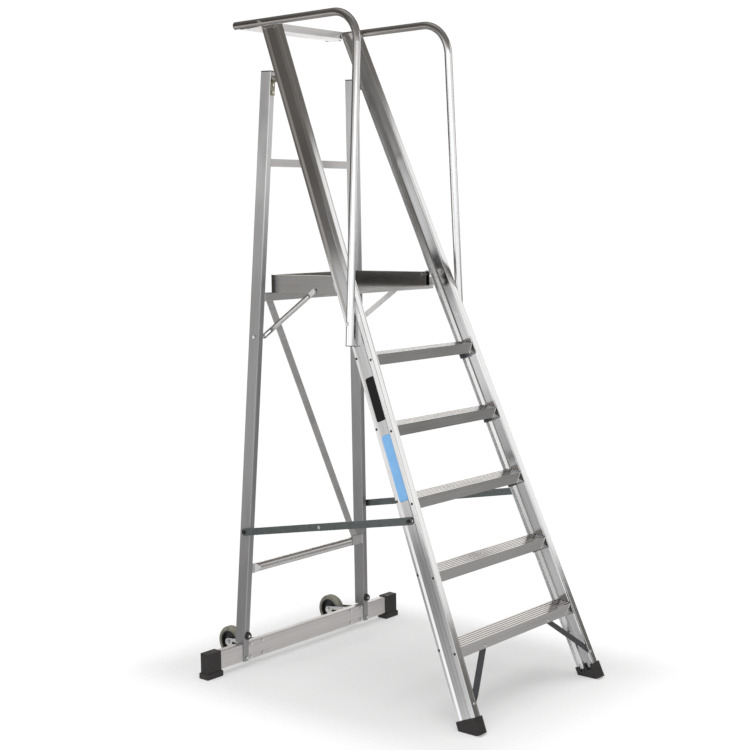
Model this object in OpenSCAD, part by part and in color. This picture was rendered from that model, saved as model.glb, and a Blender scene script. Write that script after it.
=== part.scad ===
// Podium step: a folding aluminium platform ladder with handrails on a wide wheeled base.
// Millimetres, +Z up. The climber stands in front and faces +Y.
// The origin lies on the floor, under the middle of the footprint.

/* [Stiles] */
// How far the stiles stand outside the legs at the floor
stile_past = 19; // [15:1:24]
// Half of the outer width over the stiles at their top
stile_half_top = 247; // [245:0.5:249]
// Height of the level cut at the stile top above the handrail centre
stile_over = 5; // [3:0.5:9]
// Lean of the stiles from upright, in degrees
stile_lean = 22.6; // [22:0.1:23.2]
// Depth of the stile channel, front to rear
stile_depth = 80; // [77:0.5:84]
// Width of the stile flanges
stile_flange = 30; // [28:0.5:31]
// Wall of the stile channel
stile_wall = 3; // [2.5:0.1:3.5]
// Depth of the long recess in the stile web
web_recess = 3; // [2:0.1:3.6]
// Flat strip along the front edge of the web
strip_front = 18; // [16:0.5:20]
// Flat strip along the rear edge of the web
strip_rear = 11; // [10:0.5:13]
// Run of the bevel beside the front strip
bevel_front = 6; // [4:0.5:8]
// Run of the bevel beside the rear strip
bevel_rear = 10; // [7:0.5:12]
// Radius of the outer corners of the stile
stile_corner = 2; // [1:0.25:2.5]
// Distance of the groove in the front flange from its inner edge
groove_in = 4; // [3:0.5:5]
// Width of the groove in the front flange
groove_w = 3; // [2:0.5:3.5]
// Depth of the groove in the front flange
groove_d = 1; // [0.5:0.1:1.2]

/* [Shoes] */
// Wall of the moulded shoe round the stile
shoe_wall = 5; // [4:0.5:6]
// Distance along the stile of the top edge of the shoe
shoe_top = 67; // [62:1:74]
// Distance along the stile of its cut lower end
stile_end = 43; // [42:1:48]
// Height of the bevel at the toe of the shoe
shoe_bevel_h = 7; // [5:1:10]
// Length of the bevel at the toe of the shoe
shoe_bevel_run = 17; // [12:1:22]
// Depth of the two notches in the inner wall of the shoe
shoe_notch = 20; // [15:1:22]
// Width of the post between the notches
shoe_post = 12; // [9:1:16]
// Width of the wall that holds the stile flanges
shoe_corner = 14; // [12:1:18]

/* [Treads] */
// Height of the top of the lowest tread
tread_first = 281; // [274:1:288]
// Rise from one tread to the next
tread_pitch = 250; // [246:1:253]
// Depth of a tread, front to rear
tread_depth = 84; // [80:0.5:86]
// Set-back of the tread nose from the stile front
tread_setback = 3.5; // [3:0.1:4.5]
// Wall of the tread section
tread_wall = 3; // [2.4:0.1:3.4]
// Height of the tread nose
tread_nose = 40; // [36:1:44]
// Height of the rear lip of a tread
tread_rear = 24; // [20:1:28]
// Depth of the turned hem under the tread nose
tread_hem = 9; // [7:0.5:11]
// Number of raised ribs on a tread
tread_ribs = 6; // [4:1:8]
// Width of a rib
rib_w = 8; // [5:0.5:9]
// Height of a rib
rib_h = 2; // [1.5:0.1:2.5]

/* [Tread fixings] */
// Sheet of the angle bracket inside the stile
bracket_t = 3; // [2.5:0.1:3.5]
// Drop of the bracket below the tread top
bracket_drop = 66; // [58:1:72]
// Reach of the bracket under the tread
bracket_reach = 12; // [9:1:16]
// Diameter of a tread rivet
rivet_d = 5; // [4:0.2:6]
// Diameter of a tread rivet head
rivet_head_d = 10; // [8:0.2:11]
// Height of a tread rivet head
rivet_head_h = 3; // [2:0.1:4]
// Distance of the front rivets from the stile front
rivet_front = 10; // [8:0.5:11]
// Distance of the rear rivets from the stile rear
rivet_rear = 6.5; // [6:0.1:7.5]
// Drop of the tread rivets below the tread top
rivet_drop = 17; // [14:1:20]
// Width of the brace under the lowest tread
brace_w = 24; // [20:1:28]
// Thickness of the brace
brace_t = 3; // [2.5:0.1:4]
// Half distance between the brace rivets in the tread nose
brace_half = 200; // [190:1:215]
// Height of the brace rivets in the stiles
brace_foot_z = 104; // [98:1:115]

/* [Handrails] */
// Diameter of the handrail tube
rail_d = 30; // [28:0.5:32]
// Wall of the handrail tube
rail_wall = 2; // [1.5:0.1:2.5]
// Height of the lower end of the handrail
rail_low = 1312; // [1306:1:1320]
// Height of the level run of the handrail, at its centre
rail_h = 2525; // [2510:1:2540]
// Radius of the handrail bend, at its centre
rail_bend = 118; // [105:1:130]
// How far the handrail runs past the top tray
rail_past = 26; // [20:1:32]
// Height of the lower handrail bolt above the lower end
rail_bolt_rise = 78; // [70:1:90]
// Length of an end plug inside the tube
plug_l = 16; // [12:1:20]
// Thickness of the visible disc of a plug
plug_t = 3; // [2:0.2:4]
// Depth of the top tray, front to rear
tray_depth = 88; // [80:1:92]
// Sheet of the top tray
tray_t = 2; // [1.5:0.1:2.5]
// Height of the front lip of the tray
tray_lip = 28; // [20:1:32]
// Height of the rear lip of the tray
tray_rear_lip = 10; // [6:1:14]

/* [Hinge] */
// Drop of the hinge axis below the handrail centre
hinge_drop = 215; // [205:1:225]
// Radius of the hinge knuckle
knuckle_r = 12; // [11:0.5:13]
// Diameter of the hinge pin
hinge_pin_d = 10; // [8:0.5:11]
// Width of the hinge
hinge_w = 22; // [20:0.5:24]
// Thickness of a hinge leaf
leaf_t = 2.5; // [2:0.1:3]
// Length of a hinge leaf below the axis
leaf_len = 62; // [56:1:70]

/* [Rear legs] */
// Half of the outer width over the legs at the floor
leg_half = 381; // [376:1:386]
// Distance of the leg front behind the stile front at the floor
leg_foot_y = 1181; // [1165:1:1200]
// How far the leg stands inside the stile at the hinge
leg_inset = 2.4; // [2:0.1:3]
// Width of a leg
leg_w = 26; // [24:0.5:27]
// Depth of a leg, front to rear
leg_d = 55; // [50:0.5:60]
// Wall of a leg
leg_wall = 2; // [1.6:0.1:2.6]
// Radius of the corners of a leg
leg_corner = 4; // [3:0.25:5]
// Height of the leg tops above the hinge axis
leg_over = 28; // [22:1:40]
// Thickness of a leg cap
cap_t = 4; // [3:0.2:6]

/* [Cross members] */
// Height of the upper crossbar, as a part of the way from the toe board to the hinge
upper_bar_part = 0.557; // [0.54:0.001:0.58]
// Height of the upper crossbar section
upper_bar_h = 30; // [26:1:34]
// Thickness of the upper crossbar
upper_bar_t = 4; // [3:0.2:6]
// Height of the platform bar section
seat_bar_h = 33; // [28:1:36]
// Depth of the platform bar section
seat_bar_d = 32; // [28:1:36]
// Wall of the platform bar
seat_bar_wall = 2; // [1.5:0.1:2.5]
// Radius of the corners of the platform bar
seat_bar_corner = 3; // [2.8:0.1:4]
// Height of the lower cross tube
cross_z = 398; // [385:1:410]
// Diameter of the lower cross tube
cross_d = 35; // [32:0.5:38]
// Wall of the lower cross tube
cross_wall = 2; // [1.5:0.1:2.5]
// Thickness of the flattened tube ends
flat_t = 5; // [4:0.2:6]
// Length of the flattened tube end at the right leg, where the diagonal brace is bolted
flat_len = 64; // [62:1:70]
// Length of the flattened tube end at the left leg
flat_short = 16; // [12:1:20]
// Width of the diagonal brace
diag_w = 32; // [28:0.5:36]
// Thickness of the diagonal brace
diag_t = 4; // [3:0.2:5]
// Distance of the upper bolt of the diagonal brace from the leg
diag_top_in = 50; // [44:1:56]
// Distance of the lower bolt of the diagonal brace from the leg
diag_foot_in = 36; // [30:1:38]

/* [Base] */
// Clearance of the base bar above the floor
base_z = 25; // [20:1:30]
// Height of the base bar
base_h = 73; // [68:1:78]
// Depth of the base bar
base_d = 31; // [28:0.5:34]
// Wall of the base bar
base_wall = 2.5; // [2:0.1:3]
// Radius of the corners of the base bar
base_corner = 4; // [3.2:0.1:5]
// Half of the length of the base bar
base_half = 569; // [555:1:585]
// Distance of the base bar front behind the leg front at the floor
base_setback = 3.5; // [3.2:0.1:4.2]
// Length of a rubber boot along the base bar
boot_len = 72; // [64:1:80]
// Wall of a rubber boot
boot_wall = 4; // [3:0.2:5]
// How far the foot of a boot stands proud of its walls
boot_flare = 5; // [3:0.5:7]
// Height of the foot of a boot
boot_foot = 24; // [20:1:28]
// Diameter of a buffer on the leg front
buffer_d = 32; // [28:0.5:36]
// Height of a buffer off the leg
buffer_h = 12; // [10:0.5:14]
// Height of the buffers above the floor
buffer_z = 130; // [126:1:140]

/* [Wheels] */
// Diameter of a wheel
wheel_d = 125; // [120:1:127]
// Width of a tyre
wheel_w = 34; // [30:0.5:36]
// Distance of the wheel centres inside the legs at the floor
wheel_in = 79; // [70:1:88]
// Height of the wheel axle
axle_z = 66; // [65:0.5:70]
// Distance of the axle behind the base bar
axle_back = 112; // [106:1:118]
// Diameter of the wheel axle
axle_d = 12; // [10:0.5:14]
// Thickness of the fork sheet
fork_t = 3; // [2.5:0.1:4]
// Half spacing of the fork bolts along the bar
fork_bolt_half = 33; // [32:0.5:34]

/* [Platform] */
// Height of the top of the deck
deck_top = 1507; // [1500:1:1512]
// Clearance between the platform and the legs at the deck
platform_gap = 21.7; // [21:0.1:24]
// Drop of the toe board below the deck top
toe_drop = 15; // [13.5:0.5:18]
// Height of the toe board
toe_h = 69; // [66:1:74]
// Thickness of the toe board section
toe_t = 24; // [22:0.5:27]
// Wall of the toe board section
toe_wall = 2; // [1.5:0.1:2.5]
// Outer radius of the rear corners of the toe board
toe_corner = 50; // [42:1:60]
// Distance of the toe board rear behind the leg front
toe_behind = 18; // [14:0.5:22]
// Distance of the pivot behind the front end of the toe board
pivot_in = 16; // [14:0.5:18]
// Distance of the pivot below the top of the toe board
pivot_drop = 11; // [10:0.5:13]
// Distance of the pivot behind the stile rear face
pivot_back = 2; // [1:0.5:5]
// Distance of the deck nose in front of the toe board ends
deck_nose = 38; // [30:1:44]
// Sheet of the deck
deck_t = 2.5; // [2:0.1:3]
// Pitch of the ribs on the deck
deck_rib_pitch = 16; // [12:0.5:24]
// Width of the ledge that carries the deck
ledge_w = 16; // [14:0.5:20]
// Thickness of the ledge
ledge_t = 2.5; // [2:0.1:3]

/* [Struts and stays] */
// Distance of the strut bolt behind the platform pivot
strut_back = 139; // [130:1:150]
// Height of the strut bolt above the toe board bottom
strut_rise = 10; // [9.5:0.5:14]
// Width of a strut
strut_w = 20; // [18:0.5:22]
// Thickness of the flat ends of a strut
strut_t = 4; // [3:0.2:5]
// Crown of the rolled middle of a strut
strut_crown = 5; // [3:0.2:6]
// Height of the strut foot on the rear leg
strut_foot_z = 1320; // [1305:1:1335]
// Distance of the strut foot behind the leg front
strut_foot_in = 24; // [20:1:30]
// Length of the slot in the strut foot
strut_slot = 40; // [36:1:46]
// Height of a stay strap
stay_h = 28; // [24:0.5:30]
// Thickness of a stay strap
stay_t = 3; // [2.5:0.1:3.5]
// Height of the front pivot of the stays
stay_front_z = 702; // [690:1:715]
// Height of the rear pivot of the stays
stay_rear_z = 548; // [536:1:560]
// Distance of the rear stay pivot behind the leg front
stay_rear_in = 24; // [19:1:30]
// Length of the front stay strap between its holes
stay_front_l = 440; // [430:1:450]
// Stand-off of the front strap from the stile
stay_off = 2.8; // [2.6:0.1:4]

/* [Fasteners and clearances] */
// Diameter of the structural bolts
bolt_d = 8; // [6:0.5:8.5]
// Diameter of a bolt head
bolt_head_d = 14; // [12:0.5:15]
// Height of a bolt head
bolt_head_h = 5; // [4:0.2:6]
// Diameter of the small screws
screw_d = 5; // [4:0.2:6]
// Diameter of a small screw head
screw_head_d = 10; // [8:0.5:11]
// Height of a small screw head
screw_head_h = 3; // [2:0.2:4]
// Radial clearance of a pin or bolt in its hole
fit = 0.05; // [0.02:0.01:0.09]
// Side clearance between pieces that turn past each other
side_gap = 0.3; // [0.2:0.05:0.5]

/* [Hidden] */
$fn = 48;

// Colours of the materials
alloy = [0.74, 0.75, 0.76];
dull_alloy = [0.62, 0.63, 0.64];
zinc = [0.70, 0.70, 0.66];
galvanised = [0.42, 0.45, 0.43];
anthracite = [0.24, 0.25, 0.27];
rubber = [0.10, 0.10, 0.11];
tyre_grey = [0.38, 0.38, 0.33];

// Room that a cutting body keeps beyond what it cuts
spare = 60;
// Overlap that joins the members of one piece
bond = 0.5;

// Stile planes: outer web, front and rear faces at a height
stile_half = leg_half + stile_past;
stile_top = rail_h + stile_over;
stile_taper = atan((stile_half - stile_half_top) / stile_top);
stile_run = stile_depth / cos(stile_lean);
function stile_out(z) = stile_half - z * tan(stile_taper);
function stile_in(z) = stile_out(z) - stile_flange / cos(stile_taper);
function stile_front(z) = z * tan(stile_lean) / cos(stile_taper);
function stile_back(z) = stile_front(z) + stile_run;
// Distance along the stile of a point at a height and a depth from its front
function stile_s(z, depth) = (z / cos(stile_taper) + depth * sin(stile_lean)) / cos(stile_lean);
web_inner = stile_wall + web_recess;
recess_front = strip_front + bevel_front;
recess_rear = stile_depth - strip_rear - bevel_rear;

// Hinge axis and leg planes
hinge_z = rail_h - hinge_drop;
leg_top = hinge_z + leg_over;
leaf_stand = leaf_t + knuckle_r + side_gap;
hinge_y = stile_back(hinge_z) + leaf_stand / cos(stile_lean);
leg_lean = atan((leg_foot_y - hinge_y - leaf_stand) / hinge_z);
leg_taper = atan((leg_half - stile_out(hinge_z) + leg_inset) / hinge_z);
function leg_out(z) = leg_half - z * tan(leg_taper);
function leg_in(z) = leg_out(z) - leg_w / cos(leg_taper);
function leg_front(z) = leg_foot_y - z * tan(leg_lean) / cos(leg_taper);
function leg_s(z, depth) = (z / cos(leg_taper) - depth * sin(leg_lean)) / cos(leg_lean);
hinge_x = leg_out(hinge_z) - leg_w / 2;
hinge_part = hinge_w / 3;
hinge_s = stile_s(hinge_z, stile_depth + leaf_stand);
leaf_short = 0.2 * knuckle_r;
leaf_bolts = [0.36, 0.8] * leaf_len;
pin_head_d = hinge_pin_d + 4;
pin_head_h = 2;

// Treads
tread_count = 5;
function tread_top(i) = tread_first + i * tread_pitch;
function tread_y(i) = stile_front(tread_top(i)) + tread_setback;
tread_under = rib_h + tread_wall;
tread_clear = 0.2;
rib_pitch = (tread_depth - rib_w) / (tread_ribs - 1);
brace_lip_z = tread_first - 0.75 * tread_nose;
brace_in = stile_flange / 2 + 2;
brace_run = brace_t / cos(stile_lean);
brace_foot = [stile_half - brace_in * cos(stile_taper) - brace_foot_z * tan(stile_taper),
    brace_foot_z - brace_in * sin(stile_taper)];
brace_lip = [brace_half, brace_lip_z];
brace_turn = atan2(brace_foot[1] - brace_lip[1], brace_foot[0] - brace_lip[0]);
brace_high_z = tread_first - tread_nose - bond;
brace_low_z = brace_foot_z + 0.7 * brace_w;
function brace_seat(z) = stile_front(z) + stile_wall / cos(stile_lean) + fit
    + stile_flange * tan(stile_taper) * tan(stile_lean);
shelf_front = 8;
shelf_short = 17;

// Shoes
shoe_run = stile_depth + 2 * shoe_wall;
shoe_below = shoe_run;
shoe_tip_y = stile_front(shoe_bevel_h) - shoe_wall / cos(stile_lean);

// Handrails, in the plane of the stile web
rail_r = rail_d / 2;
rail_x = rail_r + fit;
rail_zl = (rail_h - rail_x * sin(stile_taper)) / cos(stile_taper);
rail_half = stile_half + rail_x * cos(stile_taper) - rail_zl * sin(stile_taper);
rail_bolt_z = rail_low + rail_bolt_rise;
rail_back = 0.56;
rail_y = stile_front(rail_bolt_z) + rail_back * stile_run;
rail_bolt_back = 0.72;
rail_top_bolt_y = stile_front(rail_h) + rail_bolt_back * stile_run;
tray_gap = 1.5;
tray_y = stile_back(stile_top) + tray_gap;
rail_end_y = tray_y + tray_depth + rail_past;
rail_reach = rail_end_y - rail_y;
tray_z = rail_h - rail_r - fit;
tray_screw_y = tray_y + tray_depth / 2;

// Platform, its pivot and its bar
platform_half = leg_in(deck_top) - platform_gap;
toe_z = deck_top - toe_drop;
toe_top = toe_z + toe_h;
pivot_z = toe_top - pivot_drop;
pivot_y = stile_back(pivot_z) + pivot_back;
pivot_s = stile_s(pivot_z, stile_depth);
toe_front = pivot_y - pivot_in;
toe_rear = leg_front(deck_top) + toe_behind;
deck_front = toe_front - deck_nose;
deck_half = platform_half - toe_t;
deck_under = deck_top - rib_h - deck_t;
deck_leg_w = ledge_w - 4;
ledge_top = toe_z + ledge_t;
deck_rivet_x = deck_half - deck_leg_w / 2;
deck_rivet_front = toe_front + 60;
deck_rivet_rear = toe_rear - toe_corner - 30;
deck_rivet_y = [deck_rivet_front, (deck_rivet_front + deck_rivet_rear) / 2, deck_rivet_rear];
deck_lip = 7;
ear_t = 4;
ear_r = 15;
ear_x = platform_half + 5 * side_gap;
ear_len = 44;
ear_margin = 3;
ear_clear = bolt_head_d / 2 + ear_margin;
foot_edge = 2;
seat_bar_top = toe_z - side_gap;
seat_bar_y = leg_front(seat_bar_top - seat_bar_h) + side_gap / 2;

// Struts
strut_y = pivot_y + strut_back;
strut_z = toe_z + strut_rise;
strut_foot_y = leg_front(strut_foot_z) + strut_foot_in;
strut_len = norm([strut_foot_y - strut_y, strut_foot_z - strut_z]);
strut_angle = atan2(strut_foot_z - strut_z, strut_foot_y - strut_y);
strut_slot_w = bolt_d + 1;
strut_x = platform_half + 2 * side_gap;
strut_out = strut_x + strut_t;

// Stays
stay_front_y = stile_front(stay_front_z) + (recess_front + recess_rear) / 2 / cos(stile_lean);
stay_rear_y = leg_front(stay_rear_z) + stay_rear_in;
stay_run = norm([stay_rear_y - stay_front_y, stay_rear_z - stay_front_z]);
stay_angle = atan2(stay_rear_z - stay_front_z, stay_rear_y - stay_front_y);
stay_rear_l = stay_run - stay_front_l;
boss_r = 12;
boss_low = 3;
stay_stack = boss_low + side_gap + stay_t + side_gap;
stay_front_x = max(stile_out(stay_front_z) + stay_off, leg_out(stay_rear_z) + stay_stack);
stay_rear_x = stay_front_x - side_gap - stay_t;

// Rear frame
upper_bar_z = toe_top + upper_bar_part * (hinge_z - toe_top);
base_top = base_z + base_h;
base_y = max(leg_front(0), leg_front(base_top)) + base_setback;
base_back_y = base_y + base_d;
axle_y = base_back_y + axle_back;
cross_y = leg_front(cross_z) + leg_corner + flat_t / 2;
cross_neck = 20;
cross_flat_h = 1.1 * cross_d;
diag_gap = 0.9;
diag_top = [-leg_in(seat_bar_top) + diag_top_in, seat_bar_y + seat_bar_d, seat_bar_top - seat_bar_h / 2];
diag_foot = [leg_in(cross_z) - diag_foot_in, cross_y + flat_t / 2, cross_z];
diag_tilt = atan((diag_top[1] - diag_foot[1]) / (diag_foot[2] - diag_top[2]));
diag_len = norm(diag_foot - diag_top);
diag_turn = atan2(diag_foot[0] - diag_top[0], (diag_top[2] - diag_foot[2]) / cos(diag_tilt));
tab_bolt_z = base_z + 15;
fork_gap = 2;
fork_half = wheel_w / 2 + fork_gap;
fork_low = base_z + 4;
fork_high = base_top - 2;
fork_r = 16;
fork_bolt_z = [base_z + 11, base_top - 10];
fork_margin = 4;
fork_slot_front = 24;
fork_slot_rear = 28;
fork_slot_r = 6;
axle_head_d = axle_d + 6;

// Wheels
wheel_x = leg_half - wheel_in;
rim_r = 0.74 * wheel_d / 2;
rim_t = 5;
crown_r = wheel_w / 2;
crown_drop = 5;
crown_run = 8;
barrel_r = axle_d;
barrel_over = 1;
disc_half = 4;

// The footprint is centred on the origin
mid_y = (shoe_tip_y + axle_y + wheel_d / 2) / 2;

// Placing

module placed() {
    translate([0, -mid_y, 0]) children();
}

module sided(side) {
    mirror([side < 0 ? 1 : 0, 0, 0]) children();
}

module both_sides() {
    for (side = [-1, 1]) {
        sided(side) children();
    }
}

// Frame of the stile web plane: x outward from the web, z up the tapering plane
module web_frame() {
    translate([stile_half, 0, 0]) rotate([0, -stile_taper, 0]) children();
}

// Frame of the right stile: x outward, y from its front face to its rear, z along it
module stile_frame() {
    web_frame() rotate([-stile_lean, 0, 0]) children();
}

// Frame of the right rear leg: x outward, y from its front face to its rear, z along it
module leg_frame() {
    translate([leg_half, leg_foot_y, 0]) rotate([0, -leg_taper, 0]) rotate([leg_lean, 0, 0]) children();
}

// Extrude a section drawn in Y and Z along X
module along_x(x0, x1) {
    translate([x0, 0, 0]) rotate([90, 0, 90]) linear_extrude(x1 - x0) children();
}

// Round bar along X, from x0 to x1
module bar_x(d, x0, x1) {
    translate([x0, 0, 0]) rotate([0, 90, 0]) cylinder(d = d, h = x1 - x0);
}

// Bolt with its head above z = 0 and its shank below
module bolt(d, head_d, head_h, shank, sides = 6) {
    cylinder(d = head_d, h = head_h, $fn = sides);
    translate([0, 0, -shank]) cylinder(d = d, h = shank + head_h / 2, $fn = 24);
}

// Domed rivet with its head above z = 0 and its shank below
module rivet(d, head_d, head_h, shank) {
    cylinder(d1 = head_d, d2 = 0.55 * head_d, h = head_h, $fn = 24);
    translate([0, 0, -shank]) cylinder(d = d, h = shank + head_h / 2, $fn = 24);
}

// Clearance hole for a bolt or rivet, through z = 0 to a depth
module hole(d, depth) {
    translate([0, 0, -depth]) cylinder(d = d + 2 * fit, h = depth + spare / 4, $fn = 24);
}

// Wedge of space between the stile flanges, or between the legs, over a height
module between(low, high, half_low, half_high) {
    translate([0, 2 * leg_foot_y, 0]) rotate([90, 0, 0]) linear_extrude(3 * leg_foot_y)
        polygon([[-half_low, low], [half_low, low], [half_high, high], [-half_high, high]]);
}

module between_stiles(low, high) {
    between(low, high, stile_in(low), stile_in(high));
}

module between_legs(low, high) {
    between(low, high, leg_in(low), leg_in(high));
}

// Stiles

module channel_section() {
    polygon([[0, 0], [0, strip_front], [-web_recess, recess_front], [-web_recess, recess_rear],
        [0, stile_depth - strip_rear], [0, stile_depth], [-stile_flange, stile_depth],
        [-stile_flange, stile_depth - stile_wall], [-stile_wall, stile_depth - stile_wall],
        [-stile_wall, stile_depth - strip_rear], [-web_inner, recess_rear],
        [-web_inner, recess_front], [-stile_wall, strip_front], [-stile_wall, stile_wall],
        [-stile_flange, stile_wall], [-stile_flange, 0]]);
}

// What a round corner leaves of the square corner at the origin
module corner_waste(r) {
    difference() {
        translate([-r, -bond]) square(r + bond);
        translate([-r, r]) circle(r = r);
    }
}

module stile_profile() {
    difference() {
        channel_section();
        corner_waste(stile_corner);
        translate([0, stile_depth]) mirror([0, 1]) corner_waste(stile_corner);
        translate([groove_in - stile_flange, -bond]) square([groove_w, groove_d + bond]);
    }
}

module at_tread_rivets(i) {
    for (depth = [rivet_front, stile_depth - rivet_rear]) {
        stile_frame() translate([0, depth, stile_s(tread_top(i) - rivet_drop, depth)])
            rotate([0, 90, 0]) children();
    }
}

// Handrail bolts: axis along X of the web plane, at the outside of the tube
module at_rail_bolts() {
    web_frame() translate([rail_x + rail_r, rail_y, rail_bolt_z / cos(stile_taper)])
        rotate([0, 90, 0]) children();
    web_frame() translate([rail_x + rail_r, rail_top_bolt_y, rail_zl]) rotate([0, 90, 0]) children();
}

module at_front_leaf_bolts() {
    for (drop = leaf_bolts) {
        stile_frame() translate([-stile_flange / 2, stile_depth + leaf_t, hinge_s - drop])
            rotate([-90, 0, 0]) children();
    }
}

module at_ear_bolts() {
    for (drop = [ear_clear + screw_head_d / 2 + ear_margin, ear_len - screw_head_d / 2 - ear_margin]) {
        stile_frame() translate([-stile_flange / 2, stile_depth + ear_t, pivot_s - drop])
            rotate([-90, 0, 0]) children();
    }
}

// Brace rivets: the foot is in the front flange of the stile, the upper end in the tread nose
module at_brace_foot() {
    stile_frame() translate([-brace_in, 0, stile_s(brace_foot_z, 0)]) rotate([90, 0, 0]) children();
}

module stile() {
    difference() {
        stile_frame() translate([0, 0, stile_end])
            linear_extrude(stile_s(stile_top, stile_depth) + spare - stile_end) stile_profile();
        translate([0, 0, stile_top]) cube([stile_half, 2 * leg_foot_y, 4 * spare]);
        for (i = [0 : tread_count - 1]) {
            at_tread_rivets(i) hole(rivet_d, stile_wall + web_inner);
        }
        at_rail_bolts() hole(bolt_d, rail_d + 2 * web_inner);
        at_front_leaf_bolts() hole(screw_d, leaf_t + 2 * stile_wall);
        at_ear_bolts() hole(screw_d, ear_t + 2 * stile_wall);
        at_brace_foot() hole(rivet_d, brace_t + 2 * stile_wall);
    }
}

module stile_left() { color(alloy) placed() sided(-1) stile(); }
module stile_right() { color(alloy) placed() sided(1) stile(); }

// Shoes: a moulded socket round the stile end, with two notches in its inner wall

module shoe_notches() {
    gap = (stile_depth - shoe_post) / 2 - shoe_corner;
    for (y = [shoe_corner, stile_depth - shoe_corner - gap]) {
        translate([-stile_flange - spare, y, shoe_top - shoe_notch]) cube([spare + bond, gap, spare]);
    }
}

module shoe() {
    difference() {
        stile_frame() translate([-stile_flange - shoe_wall, -shoe_wall, -shoe_below])
            cube([stile_flange + 2 * shoe_wall, shoe_run, shoe_below + shoe_top]);
        stile_frame() translate([-stile_flange, 0, stile_end])
            cube([stile_flange, stile_depth, shoe_top]);
        stile_frame() shoe_notches();
        translate([0, -2 * spare, -4 * spare]) cube([2 * stile_half, 8 * spare, 4 * spare]);
        along_x(stile_half - 2 * spare, stile_half + spare)
            polygon([[shoe_tip_y - spare, shoe_bevel_h], [shoe_tip_y, shoe_bevel_h],
                [shoe_tip_y + shoe_bevel_run, 0], [shoe_tip_y + shoe_bevel_run, -spare],
                [shoe_tip_y - spare, -spare]]);
    }
}

module shoe_left() { color(rubber) placed() sided(-1) shoe(); }
module shoe_right() { color(rubber) placed() sided(1) shoe(); }

// Treads: an extruded section with a ribbed top, a deep nose and a rear lip

module tread_section() {
    translate([0, -tread_under]) square([tread_depth, tread_wall]);
    for (k = [0 : tread_ribs - 1]) {
        translate([k * rib_pitch, -rib_h - bond]) square([rib_w, rib_h + bond]);
    }
    translate([0, -tread_nose]) square([tread_wall, tread_nose - rib_h]);
    translate([0, -tread_nose]) square([tread_hem, tread_wall]);
    translate([tread_depth - tread_wall, -tread_rear]) square([tread_wall, tread_rear - rib_h]);
}

module at_brace_lip() {
    translate([brace_half, tread_y(0), brace_lip_z]) rotate([90, 0, 0]) children();
}

// Gap in the hem of the lowest tread, where a brace passes
module brace_gate() {
    translate([brace_half - brace_w / 2, tread_y(0) + tread_wall, tread_first - tread_nose - bond])
        cube([2 * brace_w, tread_hem, tread_wall + 2 * bond]);
}

// Room inside the channel of the right stile that the end of a tread fills
module tread_room(i) {
    edge = stile_wall + tread_clear;
    stile_frame() translate([-stile_flange - bond, edge, stile_s(tread_top(i), 0) - 2 * spare])
        cube([stile_flange + bond - web_inner - bracket_t - side_gap, stile_depth - 2 * edge, 4 * spare]);
}

module tread(i) {
    color(dull_alloy) placed() difference() {
        intersection() {
            translate([0, tread_y(i), tread_top(i)]) along_x(-stile_half, stile_half) tread_section();
            union() {
                between_stiles(tread_top(i) - 2 * tread_nose, tread_top(i) + tread_nose);
                both_sides() tread_room(i);
            }
        }
        if (i == 0) {
            both_sides() {
                at_brace_lip() hole(rivet_d, brace_t + 2 * tread_wall);
                brace_gate();
            }
        }
    }
}

module tread_1() { tread(0); }
module tread_2() { tread(1); }
module tread_3() { tread(2); }
module tread_4() { tread(3); }
module tread_5() { tread(4); }

// Tread brackets: a leg on the stile web, a shelf under the tread and a gusset at the rear flange

module web_leg() {
    polygon([[-stile_wall, stile_wall], [-stile_wall, strip_front], [-web_inner, recess_front],
        [-web_inner, recess_rear], [-stile_wall, stile_depth - strip_rear],
        [-stile_wall, stile_depth - stile_wall], [-web_inner - bracket_t, stile_depth - stile_wall],
        [-web_inner - bracket_t, stile_wall]]);
}

module tread_bracket(i) {
    under = tread_top(i) - tread_under;
    foot = stile_s(tread_top(i) - bracket_drop, stile_depth);
    shelf_in = stile_in(under) - bracket_reach;
    shelf_out = stile_out(under) - (web_inner + bond) / cos(stile_taper);
    difference() {
        union() {
            stile_frame() translate([0, 0, foot])
                linear_extrude(stile_s(under, stile_depth / 2) - foot) web_leg();
            stile_frame()
                translate([-stile_flange - bracket_reach, stile_depth - stile_wall - bracket_t, foot])
                cube([stile_flange + bracket_reach - web_inner, bracket_t, bracket_drop + spare]);
            translate([shelf_in, stile_front(tread_top(i)) + shelf_front, under - bracket_t])
                cube([shelf_out - shelf_in, stile_run - shelf_short, bracket_t]);
        }
        translate([0, stile_front(under) - spare, under]) cube([stile_half, 4 * spare, 4 * spare]);
        at_tread_rivets(i) hole(rivet_d, 2 * (web_inner + bracket_t));
    }
}

module tread_brackets() {
    color(anthracite) placed() for (i = [0 : tread_count - 1]) {
        both_sides() tread_bracket(i);
    }
}

module tread_rivets() {
    color(rubber) placed() both_sides() for (i = [0 : tread_count - 1]) {
        at_tread_rivets(i) rivet(rivet_d, rivet_head_d, rivet_head_h, web_inner + bracket_t);
    }
}

// Braces under the lowest tread: a strap from behind the tread nose to behind the stile flange

// The strap seen from the front, between its two rivets
module brace_outline() {
    translate(brace_lip) rotate(brace_turn) {
        translate([0, -brace_w / 2]) square([norm(brace_foot - brace_lip), brace_w]);
        circle(d = brace_w);
    }
    translate(brace_foot) circle(d = brace_w);
}

// The strap seen from the side: upright behind the nose, then forward and down to the flange
module brace_side() {
    high = brace_lip_z + brace_w;
    low = brace_foot_z - brace_w;
    nose_back = tread_y(0) + tread_wall;
    front = [[nose_back, high], [nose_back, brace_high_z], [brace_seat(brace_low_z), brace_low_z],
        [brace_seat(low), low]];
    back = [for (k = [3 : -1 : 0]) front[k] + [brace_run, 0]];
    polygon(concat(front, back));
}

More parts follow.
